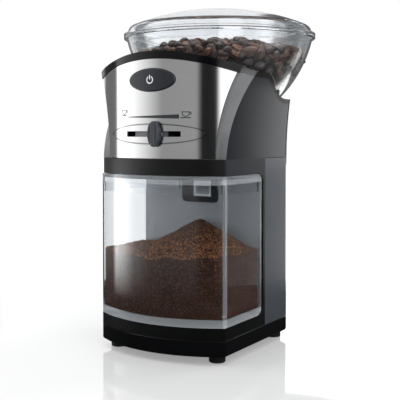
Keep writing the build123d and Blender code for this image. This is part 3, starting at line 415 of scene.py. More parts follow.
# Painted shade: the sunk groove is coloured a darker grey, standing for the shade inside it.
colour = shader.inputs["Base Color"]
feed(tree, colour, blend_colour(tree, groove_shade_mask, colour.links[0].from_socket, GROOVE_PAINTED_SHADE))
dress(steel, "front_panel")

# %% [markdown]
# ## Inner pieces
# Burrs, shaft, gears and motor are out of sight behind the covers, but they are dressed too: machined
# steel, cream nylon, sintered bronze, grey engineering plastic, ferrite and a green circuit board. The two
# groups serve for all of them with other values.

# %% Inner metals
machined = metal("machined_steel", ((0.36, 0.36, 0.38), (0.55, 0.55, 0.57)), (0.25, 0.4), 0.01 * MM)
bronze = metal("sintered_bronze", ((0.35, 0.19, 0.07), (0.55, 0.32, 0.13)), (0.35, 0.5), 0.02 * MM)
plated = metal("plated_can", ((0.42, 0.42, 0.43), (0.58, 0.58, 0.58)), (0.3, 0.4), 0.01 * MM)
dress(machined, "upper_burr", "lower_burr", "burr_shaft", "idler_axle", "gear_plate", "gear_posts",
      "base_screw_set", "chamber_screws", "armature", "motor_pinion")
dress(bronze, "shaft_bush")
dress(plated, "motor_can")

# %% Inner plastics
NYLON = ((0.62, 0.6, 0.52), (0.78, 0.76, 0.69))
GREY = ((0.2, 0.21, 0.23), (0.32, 0.33, 0.35))
SILVER = ((0.5, 0.51, 0.53), (0.68, 0.69, 0.7))
nylon = plastic("cream_nylon", NYLON, 900.0, (0.35, 0.45), 0.02 * MM)
grey = plastic("grey_plastic", GREY, 900.0, (0.3, 0.45), 0.03 * MM)
silver = plastic("silver_chute", SILVER, 1500.0, (0.22, 0.32), 0.02 * MM, Metallic=0.2)
dress(nylon, "drive_gear", "idler_gear")
dress(grey, "grind_chamber", "burr_holder", "burr_rotor", "adjust_ring", "switch_bracket", "feed_nut")
dress(silver, "chute")

# %% Switches, magnets and board
DULL = ((0.012, 0.012, 0.012), (0.03, 0.03, 0.03))
FERRITE = ((0.03, 0.03, 0.033), (0.075, 0.075, 0.08))
BOARD = ((0.01, 0.07, 0.03), (0.03, 0.16, 0.07))
dull_black = plastic("dull_black", DULL, 1200.0, (0.45, 0.6), 0.03 * MM)
ferrite = plastic("ferrite", FERRITE, 2000.0, (0.5, 0.7), 0.04 * MM)
circuit = plastic("circuit_board", BOARD, 300.0, (0.25, 0.4), 0.03 * MM)
dress(dull_black, "motor_cap", "power_switch", "interlock_switch", "interlock_plunger")
dress(ferrite, "motor_magnets")
dress(circuit, "control_board", "board_posts")

# %% [markdown]
# ## The clear plastic
# Bin, hopper and their lids are a clear plastic, faintly blue-grey in its thickness, and painted grey where a
# wall is seen edge-on, a painted shade that draws their outline. Faint flow marks of the mould vary its
# gloss.
# Light should fall through it on the coffee, so shadow rays see a nearly open surface. The bin is lighter
# where its plastic is thick: at its rear wall, in its floor, in its lid and at its front corners. Each such
# zone mixes a little white diffuse into the clear shader, partly a milky haze of the thick plastic and partly
# painted light for the light carried through it. The hopper has only a trace of haze.

# %% Clear plastic
CLEAR = ((0.93, 0.95, 0.97), (0.97, 0.98, 0.99))
CLEAR_EDGE_PAINTED_SHADE = (0.58, 0.61, 0.66)
CLEAR_SHADOW = (0.9, 0.92, 0.94)
MILK_HAZE_AND_GLOW = (0.86, 0.9, 0.94)


def either_of(tree, share, first, second):
    made = tree.nodes.new("ShaderNodeMixShader")
    for socket, wanted in zip(made.inputs, (share, first, second)):
        feed(tree, socket, wanted)
    return made.outputs["Shader"]


def clear_plastic(name, hazes_and_glow):
    finish, tree, shader = finish_of(name)
    placed = effect(tree, moulded, plastic_values(CLEAR, 220.0, (0.012, 0.04)))
    # Painted shade: where a wall is seen edge-on its colour turns grey, which draws the outline of the clear
    # walls.
    slant = tree.nodes.new("ShaderNodeLayerWeight")
    slant.inputs["Blend"].default_value = 0.3
    rim = spread(tree, slant.outputs["Facing"], 0.0, 1.0, 0.35, 0.95)
    feed(tree, shader.inputs["Base Color"], blend_colour(tree, rim, placed["Colour"], CLEAR_EDGE_PAINTED_SHADE))
    feed(tree, shader.inputs["Roughness"], placed["Roughness"])
    shader.inputs["Transmission Weight"].default_value = 1.0
    shader.inputs["IOR"].default_value = 1.45
    surface = shader.outputs["BSDF"]
    for tests, amount in hazes_and_glow:
        milk_and_glow = tree.nodes.new("ShaderNodeBsdfDiffuse")
        feed(tree, milk_and_glow.inputs["Color"], MILK_HAZE_AND_GLOW)
        share = maths(tree, "MULTIPLY", zone(tree, tests), amount)
        surface = either_of(tree, share, surface, milk_and_glow.outputs["BSDF"])
    rays = tree.nodes.new("ShaderNodeLightPath")
    open_way = tree.nodes.new("ShaderNodeBsdfTransparent")
    feed(tree, open_way.inputs["Color"], CLEAR_SHADOW)
    surface = either_of(tree, rays.outputs["Is Shadow Ray"], surface, open_way.outputs["BSDF"])
    feed(tree, tree.nodes["Material Output"].inputs["Surface"], surface)
    return finish


print("clear plastic lets shadow rays through")

# %% Bin, hopper and lids
REAR_WALL = 3.3 * MM
BIN_BASE = 6.2 * MM
EDGE_WIDE, EDGE_DEEP = 1.6 * MM, 3 * MM
HOPPER_HAZES = [([("Z", "GREATER_THAN", 0.0)], 0.01)]
# Painted light: the bin's milky zones stand partly for light carried through its thick plastic.
BIN_HAZE_AND_GLOW = [
    ([("Y", "GREATER_THAN", bin_high.y - REAR_WALL)], 0.12),
    ([("Z", "LESS_THAN", bin_low.z + BIN_BASE)], 0.2),
    ([("Z", "GREATER_THAN", bin_high.z)], 0.12),
    ([("X", "GREATER_THAN", bin_high.x - EDGE_WIDE), ("Y", "LESS_THAN", BIN_CORNER + EDGE_DEEP)], 0.16),
]
dress(clear_plastic("clear_plastic", HOPPER_HAZES), "hopper", "hopper_lid")
dress(clear_plastic("clear_bin", BIN_HAZE_AND_GLOW), "coffee_bin", "bin_lid")

# %% [markdown]
# ## Helpers for modelling by hand
# An operator acts on everything that is selected, so each piece starts from an empty selection. These few
# helpers take one piece in hand, pick its faces or points by a test, and join, close or finish what was
# made.


# %% Taking and picking
def start():
    if bpy.context.object and bpy.context.object.mode != "OBJECT":
        bpy.ops.object.mode_set(mode="OBJECT")
    bpy.ops.object.select_all(action="DESELECT")


def take(piece):
    start()
    piece.select_set(True)
    bpy.context.view_layer.objects.active = piece


def named(name):
    piece = bpy.context.object
    piece.name = name
    piece.data.name = name
    return piece


def pick(piece, kind, test):
    bpy.ops.object.mode_set(mode="EDIT")
    bpy.ops.mesh.select_mode(type={"vertices": "VERT", "polygons": "FACE"}[kind])
    bpy.ops.mesh.select_all(action="DESELECT")
    bpy.ops.object.mode_set(mode="OBJECT")
    for element in getattr(piece.data, kind):
        element.select = test(element)
    bpy.ops.object.mode_set(mode="EDIT")


def leave_edit():
    bpy.ops.object.mode_set(mode="OBJECT")


def cut_away():
    bpy.ops.mesh.delete(type="FACE")
    leave_edit()


print("modelling helpers: start, take, named, pick, leave_edit, cut_away")


# %% Settling, joining and closing
def settle(piece):
    take(piece)
    bpy.ops.object.transform_apply(location=True, rotation=True, scale=True)
    return piece


def join(pieces, name):
    start()
    for piece in pieces:
        piece.select_set(True)
    bpy.context.view_layer.objects.active = pieces[0]
    bpy.ops.object.join()
    return settle(named(name))


def outward(piece):
    take(piece)
    bpy.ops.object.mode_set(mode="EDIT")
    bpy.ops.mesh.select_all(action="SELECT")
    bpy.ops.mesh.remove_doubles(threshold=1e-6)
    bpy.ops.mesh.normals_make_consistent(inside=False)
    leave_edit()
    return piece


def finish_piece(piece, material, body):
    piece.data.materials.clear()
    piece.data.materials.append(material)
    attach(piece, body)
    print(piece.name, "faces", len(piece.data.polygons), "rides on", body)


print("more helpers: settle, join, outward, finish_piece")


# %% [markdown]
# ## Print on the front
# The oval button carries a white power sign. Above the slot a wedge grows from fine to coarse, with a cup
# at each end. A picture on the panel would blur close up, so each sign is cut from flat primitives, laid
# round the curved front and given the thickness of a film of ink.

# %% Ink finishes
INK_GRAIN = 1800.0
DARK_INK = ((0.016, 0.018, 0.021), (0.032, 0.035, 0.04))
GREY_INK = ((0.06, 0.064, 0.07), (0.1, 0.105, 0.11))
WHITE_INK = ((0.78, 0.79, 0.8), (0.86, 0.86, 0.86))
ink_dark = plastic("ink_dark", DARK_INK, INK_GRAIN, (0.4, 0.55), 0.01 * MM)
ink_grey = plastic("ink_grey", GREY_INK, INK_GRAIN, (0.4, 0.55), 0.01 * MM)
ink_white = plastic("ink_white", WHITE_INK, INK_GRAIN, (0.4, 0.5), 0.01 * MM)
print("three inks")

# %% Flat shapes and the film
INK = 0.06 * MM
INK_SUNK = 0.2
UPRIGHT = (math.pi / 2, 0, 0)


def flat_plate(width, tall, x, z, cuts=0):
    start()
    bpy.ops.mesh.primitive_plane_add(size=1, location=(x, 0, z), rotation=UPRIGHT)
    plate = bpy.context.object
    plate.scale = (width, tall, 1)
    settle(plate)
    if cuts:
        pick(plate, "polygons", lambda f: True)
        bpy.ops.mesh.subdivide(number_cuts=cuts)
        leave_edit()
    return plate


def flat_ring(radius, width, x, z):
    start()
    bpy.ops.mesh.primitive_circle_add(
        vertices=40, radius=radius, fill_type="NGON", location=(x, 0, z), rotation=UPRIGHT
    )
    ring = settle(bpy.context.object)
    pick(ring, "polygons", lambda f: True)
    bpy.ops.mesh.inset(thickness=width)
    cut_away()
    return ring


def lay_on_front(piece, radius):
    for point in piece.data.vertices:
        point.co.y = AXIS.y - math.sqrt(radius**2 - point.co.x**2) - INK_SUNK * INK
    film = piece.modifiers.new("film", "SOLIDIFY")
    film.thickness = INK
    film.offset = 1
    take(piece)
    bpy.ops.object.modifier_apply(modifier=film.name)
    return outward(piece)


print("film of ink", INK, "thick")


# %% [markdown]
# The power sign is a ring that is open at the top, with a short stroke in the gap. A filled circle is
# inset, its middle and the faces at the gap are deleted, and the stroke is a narrow plate.

# %% Power sign on the button
SIGN_RADIUS, SIGN_LINE = 3.1 * MM, 0.85 * MM
GAP_ABOVE, GAP_HALF = 2.0 * MM, 1.3 * MM
STROKE_TALL = 3.6 * MM
sign = flat_ring(SIGN_RADIUS, SIGN_LINE, 0, Z_BUTTON)
pick(sign, "polygons", lambda f: f.center.z > Z_BUTTON + GAP_ABOVE and abs(f.center.x) < GAP_HALF)
cut_away()
stroke = flat_plate(SIGN_LINE, STROKE_TALL, 0, Z_BUTTON + GAP_ABOVE, 3)
power_sign = join([sign, stroke], "power_sign")
lay_on_front(power_sign, BUTTON_R)
finish_piece(power_sign, ink_white, "button")

# %% [markdown]
# The wedge tells which way the coffee gets coarser. A long plate is cut into columns, so that it can follow
# the curve of the front, and its height is scaled from a thin tip at the left to full at the right.

# %% Wedge from fine to coarse
WEDGE_LONG, WEDGE_TALL, WEDGE_TIP = 48.4 * MM, 3.3 * MM, 0.16
Z_SCALE = Z_BUTTON - 28.6 * MM
wedge = flat_plate(WEDGE_LONG, WEDGE_TALL, 0, Z_SCALE, 24)
for point in wedge.data.vertices:
    share = WEDGE_TIP + (1 - WEDGE_TIP) * (point.co.x / WEDGE_LONG + 0.5)
    point.co.z = Z_SCALE + (point.co.z - Z_SCALE) * share
wedge.name = "grind_wedge"
lay_on_front(wedge, FRONT_R)
finish_piece(wedge, ink_dark, "housing")

# %% [markdown]
# A cup at each end shows a small coffee and a large one. The bowl is a plate that narrows downwards, with
# its corners bevelled round and its middle inset and deleted. Half a ring is the handle, and a bar is the
# saucer.

# %% Cups at the ends of the wedge
CUP_TAPER, CUP_ROUND = 0.72, 0.3
HANDLE_SIZE, HANDLE_UP, HANDLE_CUT = 0.3, 0.14, 0.47
SAUCER_LINE, SAUCER_DROP = 1.2, 1.1


def cup(name, x, z, width, tall, line, saucer):
    bowl = flat_plate(width, tall, x, z)
    pick(bowl, "vertices", lambda v: v.co.z < z)
    bpy.ops.transform.resize(value=(CUP_TAPER, 1, 1), center_override=(x, 0, z))
    bpy.ops.mesh.bevel(offset=CUP_ROUND * width, segments=5, affect="VERTICES")
    pick(bowl, "polygons", lambda f: True)
    bpy.ops.mesh.inset(thickness=line)
    cut_away()
    handle = flat_ring(HANDLE_SIZE * tall, line, x + 0.5 * width, z + HANDLE_UP * tall)
    pick(handle, "polygons", lambda f: f.center.x < x + HANDLE_CUT * width)
    cut_away()
    under = flat_plate(saucer, SAUCER_LINE * line, x, z - 0.5 * tall - SAUCER_DROP * line, 8)
    return lay_on_front(join([bowl, handle, under], name), FRONT_R)


small_cup = cup("cup_small", -28.9 * MM, Z_BUTTON - 24.6 * MM, 5.6 * MM, 4.0 * MM, 0.62 * MM, 5.2 * MM)
large_cup = cup("cup_large", 29.3 * MM, Z_BUTTON - 26.8 * MM, 6.6 * MM, 4.0 * MM, 0.65 * MM, 8.0 * MM)
finish_piece(small_cup, ink_grey, "housing")
finish_piece(large_cup, ink_dark, "housing")

# %% [markdown]
# ## Coffee beans
# A roasted bean is a flattened egg with one flat side and a seam along it. One bean is shaped from a sphere
# with its poles at the ends, so one line of points along the flat side can be pushed in as the seam. It is
# kept coarse, because it is copied hundreds of times.

# %% One bean
BEAN_HALF = (3.4 * MM, 4.2 * MM, 6.2 * MM)
FLAT_SIDE = 0.55
SEAM_DEEP, SEAM_HALF = 1.0 * MM, 0.4 * MM
start()
bpy.ops.mesh.primitive_uv_sphere_add(segments=10, ring_count=8, radius=1, rotation=(0, math.pi / 2, 0))
bean = named("bean")
bean.scale = BEAN_HALF
settle(bean)
pick(bean, "vertices", lambda v: v.co.z < -0.1 * MM)
bpy.ops.transform.resize(value=(1, 1, FLAT_SIDE), center_override=(0, 0, 0))
pick(bean, "vertices", lambda v: v.co.z < -SEAM_DEEP and abs(v.co.y) < SEAM_HALF)
bpy.ops.transform.translate(value=(0, 0, SEAM_DEEP))
leave_edit()
bpy.ops.object.shade_smooth()
print("bean faces", len(bean.data.polygons))

# %% [markdown]
# ## The heap of beans
# The heap fills the hopper nearly to its lip and is a little higher in the middle. Beans are scattered over
# its top in two layers and against the clear wall in one, with a least distance between their middles, from
# a fixed seed. A physics run would settle them too, but it would take minutes and need baking.

# %% Where beans may lie
BOWL_LOW, BOWL_TALL = 212.4, 42.0
BOWL_RADIUS, BOWL_FLARE, BOWL_BEND = 54.1, 36.6, 13.0
HEAP_RADIUS, HEAP_EDGE = 70 * MM, 73 * MM
HEAP_UNDER_LIP, HEAP_FALL, HEAP_WAVE = 5.5 * MM, 11.0 * MM, 1.6 * MM
WALL_LOW, WALL_UNDER_LIP, WALL_GAP = 212.5 * MM, 18 * MM, 4.6 * MM
TURN = 2 * math.pi
chance = random.Random(11)


def bowl_wall(z):
    share = (z / MM - BOWL_LOW) / BOWL_TALL
    return (BOWL_RADIUS + BOWL_FLARE * share - BOWL_BEND * share**2) * MM


def heap_top(x, y):
    away = math.hypot(x, y) / HEAP_EDGE
    wave = HEAP_WAVE * math.sin(95 * x + 1.3) * math.cos(120 * y)
    return Z_LIP - HEAP_UNDER_LIP - HEAP_FALL * away**2 + wave


def top_spot(sink):
    def make():
        r = HEAP_RADIUS * math.sqrt(chance.random())
        turn = chance.uniform(0, TURN)
        x, y = r * math.cos(turn), r * math.sin(turn)
        return Vector((x, y, heap_top(x, y) - sink + chance.uniform(-1.2, 1.2) * MM))

    return make


def wall_spot():
    z = chance.uniform(WALL_LOW, Z_LIP - WALL_UNDER_LIP)
    turn = chance.uniform(0, TURN)
    r = bowl_wall(z) - WALL_GAP
    return Vector((r * math.cos(turn), r * math.sin(turn), z))


def scatter(make_spot, wanted, gap):
    taken = []
    for _ in range(wanted * 30):
        spot = make_spot()
        if all((spot - other).length > gap for other in taken):
            taken.append(spot)
            if len(taken) == wanted:
                break
    return taken


lined = (WALL_LOW, Z_LIP - WALL_UNDER_LIP)
print("radius of the bowl where beans line it", [round(bowl_wall(z), 4) for z in lined])


# %% How a bean lies
def lying():
    face = math.pi * chance.choice((0, 1))
    lean = (face + chance.uniform(-0.7, 0.7), chance.uniform(-0.5, 0.5), chance.uniform(0, 6.3))
    return Euler(lean).to_matrix()


def against_wall(spot):
    face = Vector((spot.x, spot.y, -12 * MM)).to_track_quat("Z", "X").to_matrix()
    lean = (chance.uniform(-0.35, 0.35), chance.uniform(-0.35, 0.35), chance.uniform(0, 6.3))
    half = Euler((math.pi * chance.choice((0, 1)), 0, 0)).to_matrix()
    return face @ Euler(lean).to_matrix() @ half


def bean_at(spot, turn):
    copy = bean.copy()
    copy.data = bean.data.copy()
    roast = copy.data.attributes.new("roast", "FLOAT", "POINT")
    shade = chance.random()
    roast.data.foreach_set("value", [shade] * len(copy.data.vertices))
    size = chance.uniform(0.88, 1.12)
    copy.matrix_world = Matrix.Translation(spot + AXIS) @ turn.to_4x4() @ Matrix.Scale(size, 4)
    scene.collection.objects.link(copy)
    return copy


print("a bean lies on its flat or its round side")

# %% Scatter the beans
LAYERS = (0, 5 * MM)
TOP_BEANS, TOP_SPACE = 260, 7.3 * MM
WALL_BEANS, WALL_SPACE = 260, 7.6 * MM
heap = [
    bean_at(spot, lying())
    for sink in LAYERS
    for spot in scatter(top_spot(sink), TOP_BEANS, TOP_SPACE)
]
lining = [bean_at(spot, against_wall(spot)) for spot in scatter(wall_spot, WALL_BEANS, WALL_SPACE)]
print("beans on the heap", len(heap), "against the wall", len(lining))
bean_heap = join(heap, "bean_heap")
bean_lining = join(lining, "bean_lining")
start()
bean.select_set(True)
bpy.ops.object.delete()

# %% [markdown]
# ## The core of the heap
# Between the beans one sees only more beans. A dark core under the scattered ones stops the eye, so the
# hopper doesn't have to be filled with thousands that nobody sees. It is a disc, extruded upwards ring by
# ring.

# %% Core of the heap
CORE_LOW, CORE_FIRST, CORE_STEP, CORE_STEPS = 212 * MM, 213 * MM, 8 * MM, 4
CORE_GAP, CORE_FOOT_GAP = 7 * MM, 8 * MM
CORE_CROWN, CROWN_RISE = 26 * MM, 6 * MM
start()
bpy.ops.mesh.primitive_circle_add(
    vertices=48, radius=bowl_wall(CORE_FIRST) - CORE_FOOT_GAP, fill_type="NGON",
    location=(AXIS.x, AXIS.y, CORE_LOW),
)
core = settle(named("bean_core"))
for step in range(1, CORE_STEPS + 1):
    z = CORE_LOW + step * CORE_STEP
    pick(core, "polygons", lambda f: f.center.z > z - 9 * MM and abs(f.normal.z) > 0.9)
    bpy.ops.mesh.extrude_region()
    bpy.ops.transform.translate(value=(0, 0, CORE_STEP))
    grow = (bowl_wall(z) - CORE_GAP) / (bowl_wall(max(z - CORE_STEP, CORE_FIRST)) - CORE_GAP)
    bpy.ops.transform.resize(value=(grow, grow, 1), center_override=(AXIS.x, AXIS.y, z))
    leave_edit()
pick(core, "polygons", lambda f: f.center.z > z - 1 * MM and abs(f.normal.z) > 0.9)
bpy.ops.mesh.inset(thickness=CORE_CROWN)
bpy.ops.transform.translate(value=(0, 0, CROWN_RISE))
leave_edit()
outward(core)
print("core faces", len(core.data.polygons))

# %% [markdown]
# ## The roast
# No two beans are roasted alike, and a bean's skin is mottled and slightly oily. Each bean has its own
# number in an attribute, which a ramp turns into a brown, and noise darkens it in spots. Separate materials
# would do it as well, but one material with an attribute keeps the heap a single piece.

# %% Roasted beans
DARKEST, LIGHTEST = (0.014, 0.007, 0.005, 1), (0.13, 0.055, 0.022, 1)
BETWEEN = ((0.5, (0.04, 0.018, 0.011, 1)), (0.88, (0.08, 0.034, 0.016, 1)))
MOTTLE_SCALE, MOTTLE_TINT = 420.0, (0.55, 0.5, 0.5)
roasted, tree, shader = finish_of("roasted_bean")
kind = tree.nodes.new("ShaderNodeAttribute")
kind.attribute_name = "roast"
ramp = tree.nodes.new("ShaderNodeValToRGB")
stops = ramp.color_ramp.elements
stops[0].color = DARKEST
stops[1].color = LIGHTEST
for at, colour in BETWEEN:
    stops.new(at).color = colour
feed(tree, ramp.inputs["Fac"], kind.outputs["Fac"])
mottle = noise(tree, places(tree), MOTTLE_SCALE, 4.0, 0.6)
spots = spread(tree, mottle, 0.0, 1.0, 0.4, 0.75)
skin = blend_colour(tree, spots, ramp.outputs["Color"], MOTTLE_TINT, "MULTIPLY")
feed(tree, shader.inputs["Base Color"], skin)
feed(tree, shader.inputs["Roughness"], spread(tree, mottle, 0.28, 0.45))
relief(tree, shader, mottle, 0.3 * MM, 0.5)
finish_piece(bean_heap, roasted, "hopper_unit")
finish_piece(bean_lining, roasted, "hopper_unit")

# %% Dark core
SHADOW_DARK, SHADOW_LIGHT = (0.004, 0.0025, 0.002), (0.016, 0.008, 0.006)
shadow, tree, shader = finish_of("bean_shadow")
patch = noise(tree, places(tree), 160.0, 3.0)
tint = blend_colour(tree, spread(tree, patch, 0.0, 1.0), SHADOW_DARK, SHADOW_LIGHT)
feed(tree, shader.inputs["Base Color"], tint)
feed(tree, shader.inputs["Roughness"], spread(tree, patch, 0.7, 0.95))
finish_piece(core, shadow, "hopper_unit")

# %% [markdown]
# ## Ground coffee
# Ground coffee falls from the chute at the back of the bin, so it heaps there and slopes down to the front
# and the sides. A fine grid is pulled to the plan of the bin and up to the heap, then extruded down to the
# floor.

# %% Shape of the heap
BIN_WALL = 3.0 * MM
BIN_R = AXIS.y - bin_low.y - BIN_WALL
BIN_HALF = bin_high.x - BIN_WALL
BIN_BACK = bin_high.y - 3.2 * MM
FLOOR = bin_low.z + 6.3 * MM
CORNER = 3 * MM
PEAK_X, PEAK_BEHIND, PEAK_Z = 5 * MM, 7 * MM, 104 * MM
CONE_SLOPE, CONE_FLAT = 0.55, 3 * MM
LEVEL_Z, LEVEL_TILT, LEVEL_BANK = 79 * MM, 0.06, 0.12
RIPPLE, SOFT = 0.9 * MM, 5 * MM


def ground_level(x, y):
    behind = (BIN_BACK - PEAK_BEHIND) - y
    away = math.hypot(x - PEAK_X, behind * 0.95)
    cone = PEAK_Z - CONE_SLOPE * max(away - CONE_FLAT, 0)
    ripple = RIPPLE * math.sin(210 * x + 2) * math.sin(170 * y + 1)
    level = (LEVEL_Z + LEVEL_TILT * x + LEVEL_BANK * max(-x, 0)) + ripple
    return max(cone, level) + SOFT * math.exp(-abs(cone - level) / SOFT) * 0.3


def in_bin(across, along):
    x = across * BIN_HALF
    corner = max(abs(x) - (BIN_HALF - CORNER), 0)
    pulled = CORNER - math.sqrt(max(CORNER**2 - corner**2, 0))
    back = BIN_BACK - pulled
    front = AXIS.y - math.sqrt(BIN_R**2 - x**2) + pulled
    return x, front + (back - front) * along


print("peak of the coffee", round(ground_level(PEAK_X, BIN_BACK - PEAK_BEHIND), 4))

# %% Heap of ground coffee
LUMP = 0.4
lumps = random.Random(5)
start()
bpy.ops.mesh.primitive_grid_add(x_subdivisions=110, y_subdivisions=70, size=2)
grounds = named("ground_coffee")
for point in grounds.data.vertices:
    x, y = in_bin(point.co.x, (point.co.y + 1) / 2)
    point.co = (x, y, ground_level(x, y) + lumps.gauss(0, LUMP) * MM)
pick(grounds, "polygons", lambda f: True)
bpy.ops.mesh.extrude_region()
bpy.ops.transform.resize(value=(1, 1, 0), center_override=(0, 0, FLOOR))
leave_edit()
outward(grounds)
take(grounds)
bpy.ops.object.shade_smooth_by_angle(angle=math.radians(50))
print("ground coffee from", round(FLOOR, 4), "to", round(max(v.co.z for v in grounds.data.vertices), 4))

# %% [markdown]
# Ground coffee is a mass of dark crumbs with paler flakes among them. Cells of a Voronoi pattern are the
# flakes. Their colour is painted between a shaded and a lit brown: painted light where the slopes face up,
# most of all low down, and painted shade on the top of the heap and where the coffee faces sideways
# against the clear wall.

# %% Ground coffee finish
CRUMB_SCALE, FLAKE_SCALE = 1500.0, 1000.0
PRESSED_DARK, PRESSED_LIGHT = (0.026, 0.012, 0.009), (0.048, 0.021, 0.015)
FLAKE_SHADED, FLAKE_LIT = (0.08, 0.036, 0.022), (0.36, 0.14, 0.04)
PAINTED_SHADE_LOW, PAINTED_SHADE_HIGH = 87 * MM, 101 * MM
ground, tree, shader = finish_of("ground_coffee")
place = places(tree)
crumb = noise(tree, place, CRUMB_SCALE, 5.0, 0.75)
cells = tree.nodes.new("ShaderNodeTexVoronoi")
cells.inputs["Scale"].default_value = FLAKE_SCALE
feed(tree, cells.inputs["Vector"], place)
flake = tree.nodes.new("ShaderNodeSeparateColor")
feed(tree, flake.inputs["Color"], cells.outputs["Color"])
patch = noise(tree, place, 60.0, 4.0)
body = blend_colour(tree, spread(tree, patch, 0.0, 1.0), PRESSED_DARK, PRESSED_LIGHT)
# Painted light and shade: flakes are a lit brown on faces turned up and low on the heap, a shaded brown
# elsewhere.
facing = axes(tree, tree.nodes.new("ShaderNodeNewGeometry").outputs["Normal"])
lit_from_above = spread(tree, facing["Z"], 0.0, 1.0, 0.2, 0.7)
lit_below = spread(tree, axes(tree, place)["Z"], 1.0, 0.25, PAINTED_SHADE_LOW, PAINTED_SHADE_HIGH)
lit = blend_colour(tree, maths(tree, "MULTIPLY", lit_from_above, lit_below), FLAKE_SHADED, FLAKE_LIT)
share = spread(tree, flake.outputs["Red"], 0.0, 1.0, 0.45, 0.95)
feed(tree, shader.inputs["Base Color"], blend_colour(tree, share, body, lit))
feed(tree, shader.inputs["Roughness"], spread(tree, crumb, 0.75, 0.95))
shader.inputs["Specular IOR Level"].default_value = 0.2
relief(tree, shader, crumb, 1.6 * MM, 0.8)
finish_piece(grounds, ground, "bin")

# %% [markdown]
# ## Studio
# The grinder stands on a glossy white table in front of white. The world is white to the camera, to mirror
# rays and to rays through clear plastic, and a dimmer fill to everything else, so the shadows keep their
# depth.


# %% World
def seen_directly(tree):
    rays = tree.nodes.new("ShaderNodeLightPath").outputs
    either = maths(tree, "MAXIMUM", rays["Is Camera Ray"], rays["Is Glossy Ray"])
    return maths(tree, "MAXIMUM", either, rays["Is Transmission Ray"])


world = bpy.data.worlds.new("studio")
scene.world = world
world.use_nodes = True
tree = world.node_tree
fill = tree.nodes["Background"]
white = tree.nodes.new("ShaderNodeBackground")
for light, colour, strength in ((fill, (0.96, 0.98, 1.0), 0.5), (white, (1, 1, 1), 1.0)):
    feed(tree, light.inputs["Color"], colour)
    feed(tree, light.inputs["Strength"], strength)
shown = either_of(tree, seen_directly(tree), fill.outputs["Background"], white.outputs["Background"])
feed(tree, tree.nodes["World Output"].inputs["Surface"], shown)
print("world is white")

# %% [markdown]
# The table is a large plane. A white that only reflects would turn grey away from the lamps, so a little
# light of its own is added, for the rays that see it directly.

# %% Floor
TABLE_GREY, TABLE_GLOW = (0.45, 0.45, 0.45), 0.3
start()
bpy.ops.mesh.primitive_plane_add(size=8, location=(0, 0, 0))
floor = named("floor")
table, tree, shader = finish_of("white_table")
for label, wanted in (("Base Color", TABLE_GREY), ("Roughness", 0.05), ("IOR", 1.6)):
    feed(tree, shader.inputs[label], wanted)
shine = tree.nodes.new("ShaderNodeEmission")
feed(tree, shine.inputs["Strength"], maths(tree, "MULTIPLY", seen_directly(tree), TABLE_GLOW))
both = tree.nodes.new("ShaderNodeAddShader")
feed(tree, both.inputs[0], shader.outputs["BSDF"])
feed(tree, both.inputs[1], shine.outputs["Emission"])
feed(tree, tree.nodes["Material Output"].inputs["Surface"], both.outputs["Shader"])
floor.data.materials.append(table)
print("floor is white")

# %% [markdown]
# Soft boxes light the grinder from both sides, from above and from behind on the right. Mirror rays don't
# see them, since a lamp's hard rectangle would stand in the steel. Their places are given by the bearing,
# counted from the front towards the right, as a photographer walks round the table.

# %% Lights
AIM = (0, -0.02, 0.14)


def around(bearing, distance, height):
    turn = math.radians(bearing)
    return (distance * math.sin(turn), -distance * math.cos(turn), height)


def softbox(name, place, width, tall, power):
    data = bpy.data.lights.new(name, "AREA")
    data.shape = "RECTANGLE"
    data.size = width
    data.size_y = tall
    data.energy = power
    lamp = bpy.data.objects.new(name, data)
    lamp.location = place
    lamp.rotation_euler = (Vector(AIM) - Vector(place)).to_track_quat("-Z", "Y").to_euler()
    lamp.visible_glossy = False
    scene.collection.objects.link(lamp)
    print(name, [round(v, 2) for v in place])


softbox("window_left", around(-66, 1.15, 0.42), 0.62, 0.9, 9.0)
softbox("window_right", around(68, 1.3, 0.5), 0.7, 1.0, 9.0)
softbox("ceiling", (0, -0.1, 1.5), 1.2, 1.2, 12.0)
softbox("rear_rim", around(150, 1.2, 0.6), 0.5, 0.9, 6.0)

# %% [markdown]
# ## What the gloss mirrors
# What the steel and the gloss show is the studio round them. Rings of card stand about the grinder, seen by
# mirror rays and rays through clear plastic alone. Their brightness follows the bearing, counted from the
# front towards the right. The steel sees grey at the left, a tall window, a fading wall, black card beside
# the camera, two bright cards at the right, and a dark side. The middle ring then has a narrow bright card
# at the right rear, which the flank of the head mirrors, and dark card beyond it. The high ring serves the
# hopper too, where grey strips behind each edge draw its outline. The low ring serves the bin and is bright
# behind. From outside all are open.

# %% Levels of the rings
BRIGHTEST = 5.0
STEEL_LEVELS = [
    (-90, 0.2), (-67, 0.22), (-64, 2.6), (-52, 2.0), (-25, 0.85), (-15, 0.42), (14, 0.45), (18, 0.02),
    (30, 0.02), (32, 1.8), (54, 1.8), (60, 0.3), (70, 0.3), (84, 2.2), (104, 2.2), (118, 0.1),
]
BIN_LEVELS = [
    (-90, 0.25), (-66, 0.3), (-62, 5.0), (-52, 4.0), (-40, 1.2), (-25, 0.4), (-15, 0.3), (14, 0.3),
    (18, 0.02), (30, 0.02), (34, 0.3), (84, 0.3), (108, 0.15), (134, 0.12), (147, 0.3), (155, 3.0),
    (194, 3.0), (196, 1.0), (262, 1.0),
]
REAR_LEVELS = [
    (132, 0.05), (137, 0.25), (147, 1.8), (151, 1.8), (154, 0.15), (194, 0.15), (196, 1.0), (262, 1.0),
]
HOPPER_LEVELS = [
    (147, 0.3), (164, 0.4), (168, 0.12), (194, 0.12), (196, 1.0), (227, 1.0), (230, 0.2), (250, 0.2),
    (254, 1.0), (262, 1.0),
]
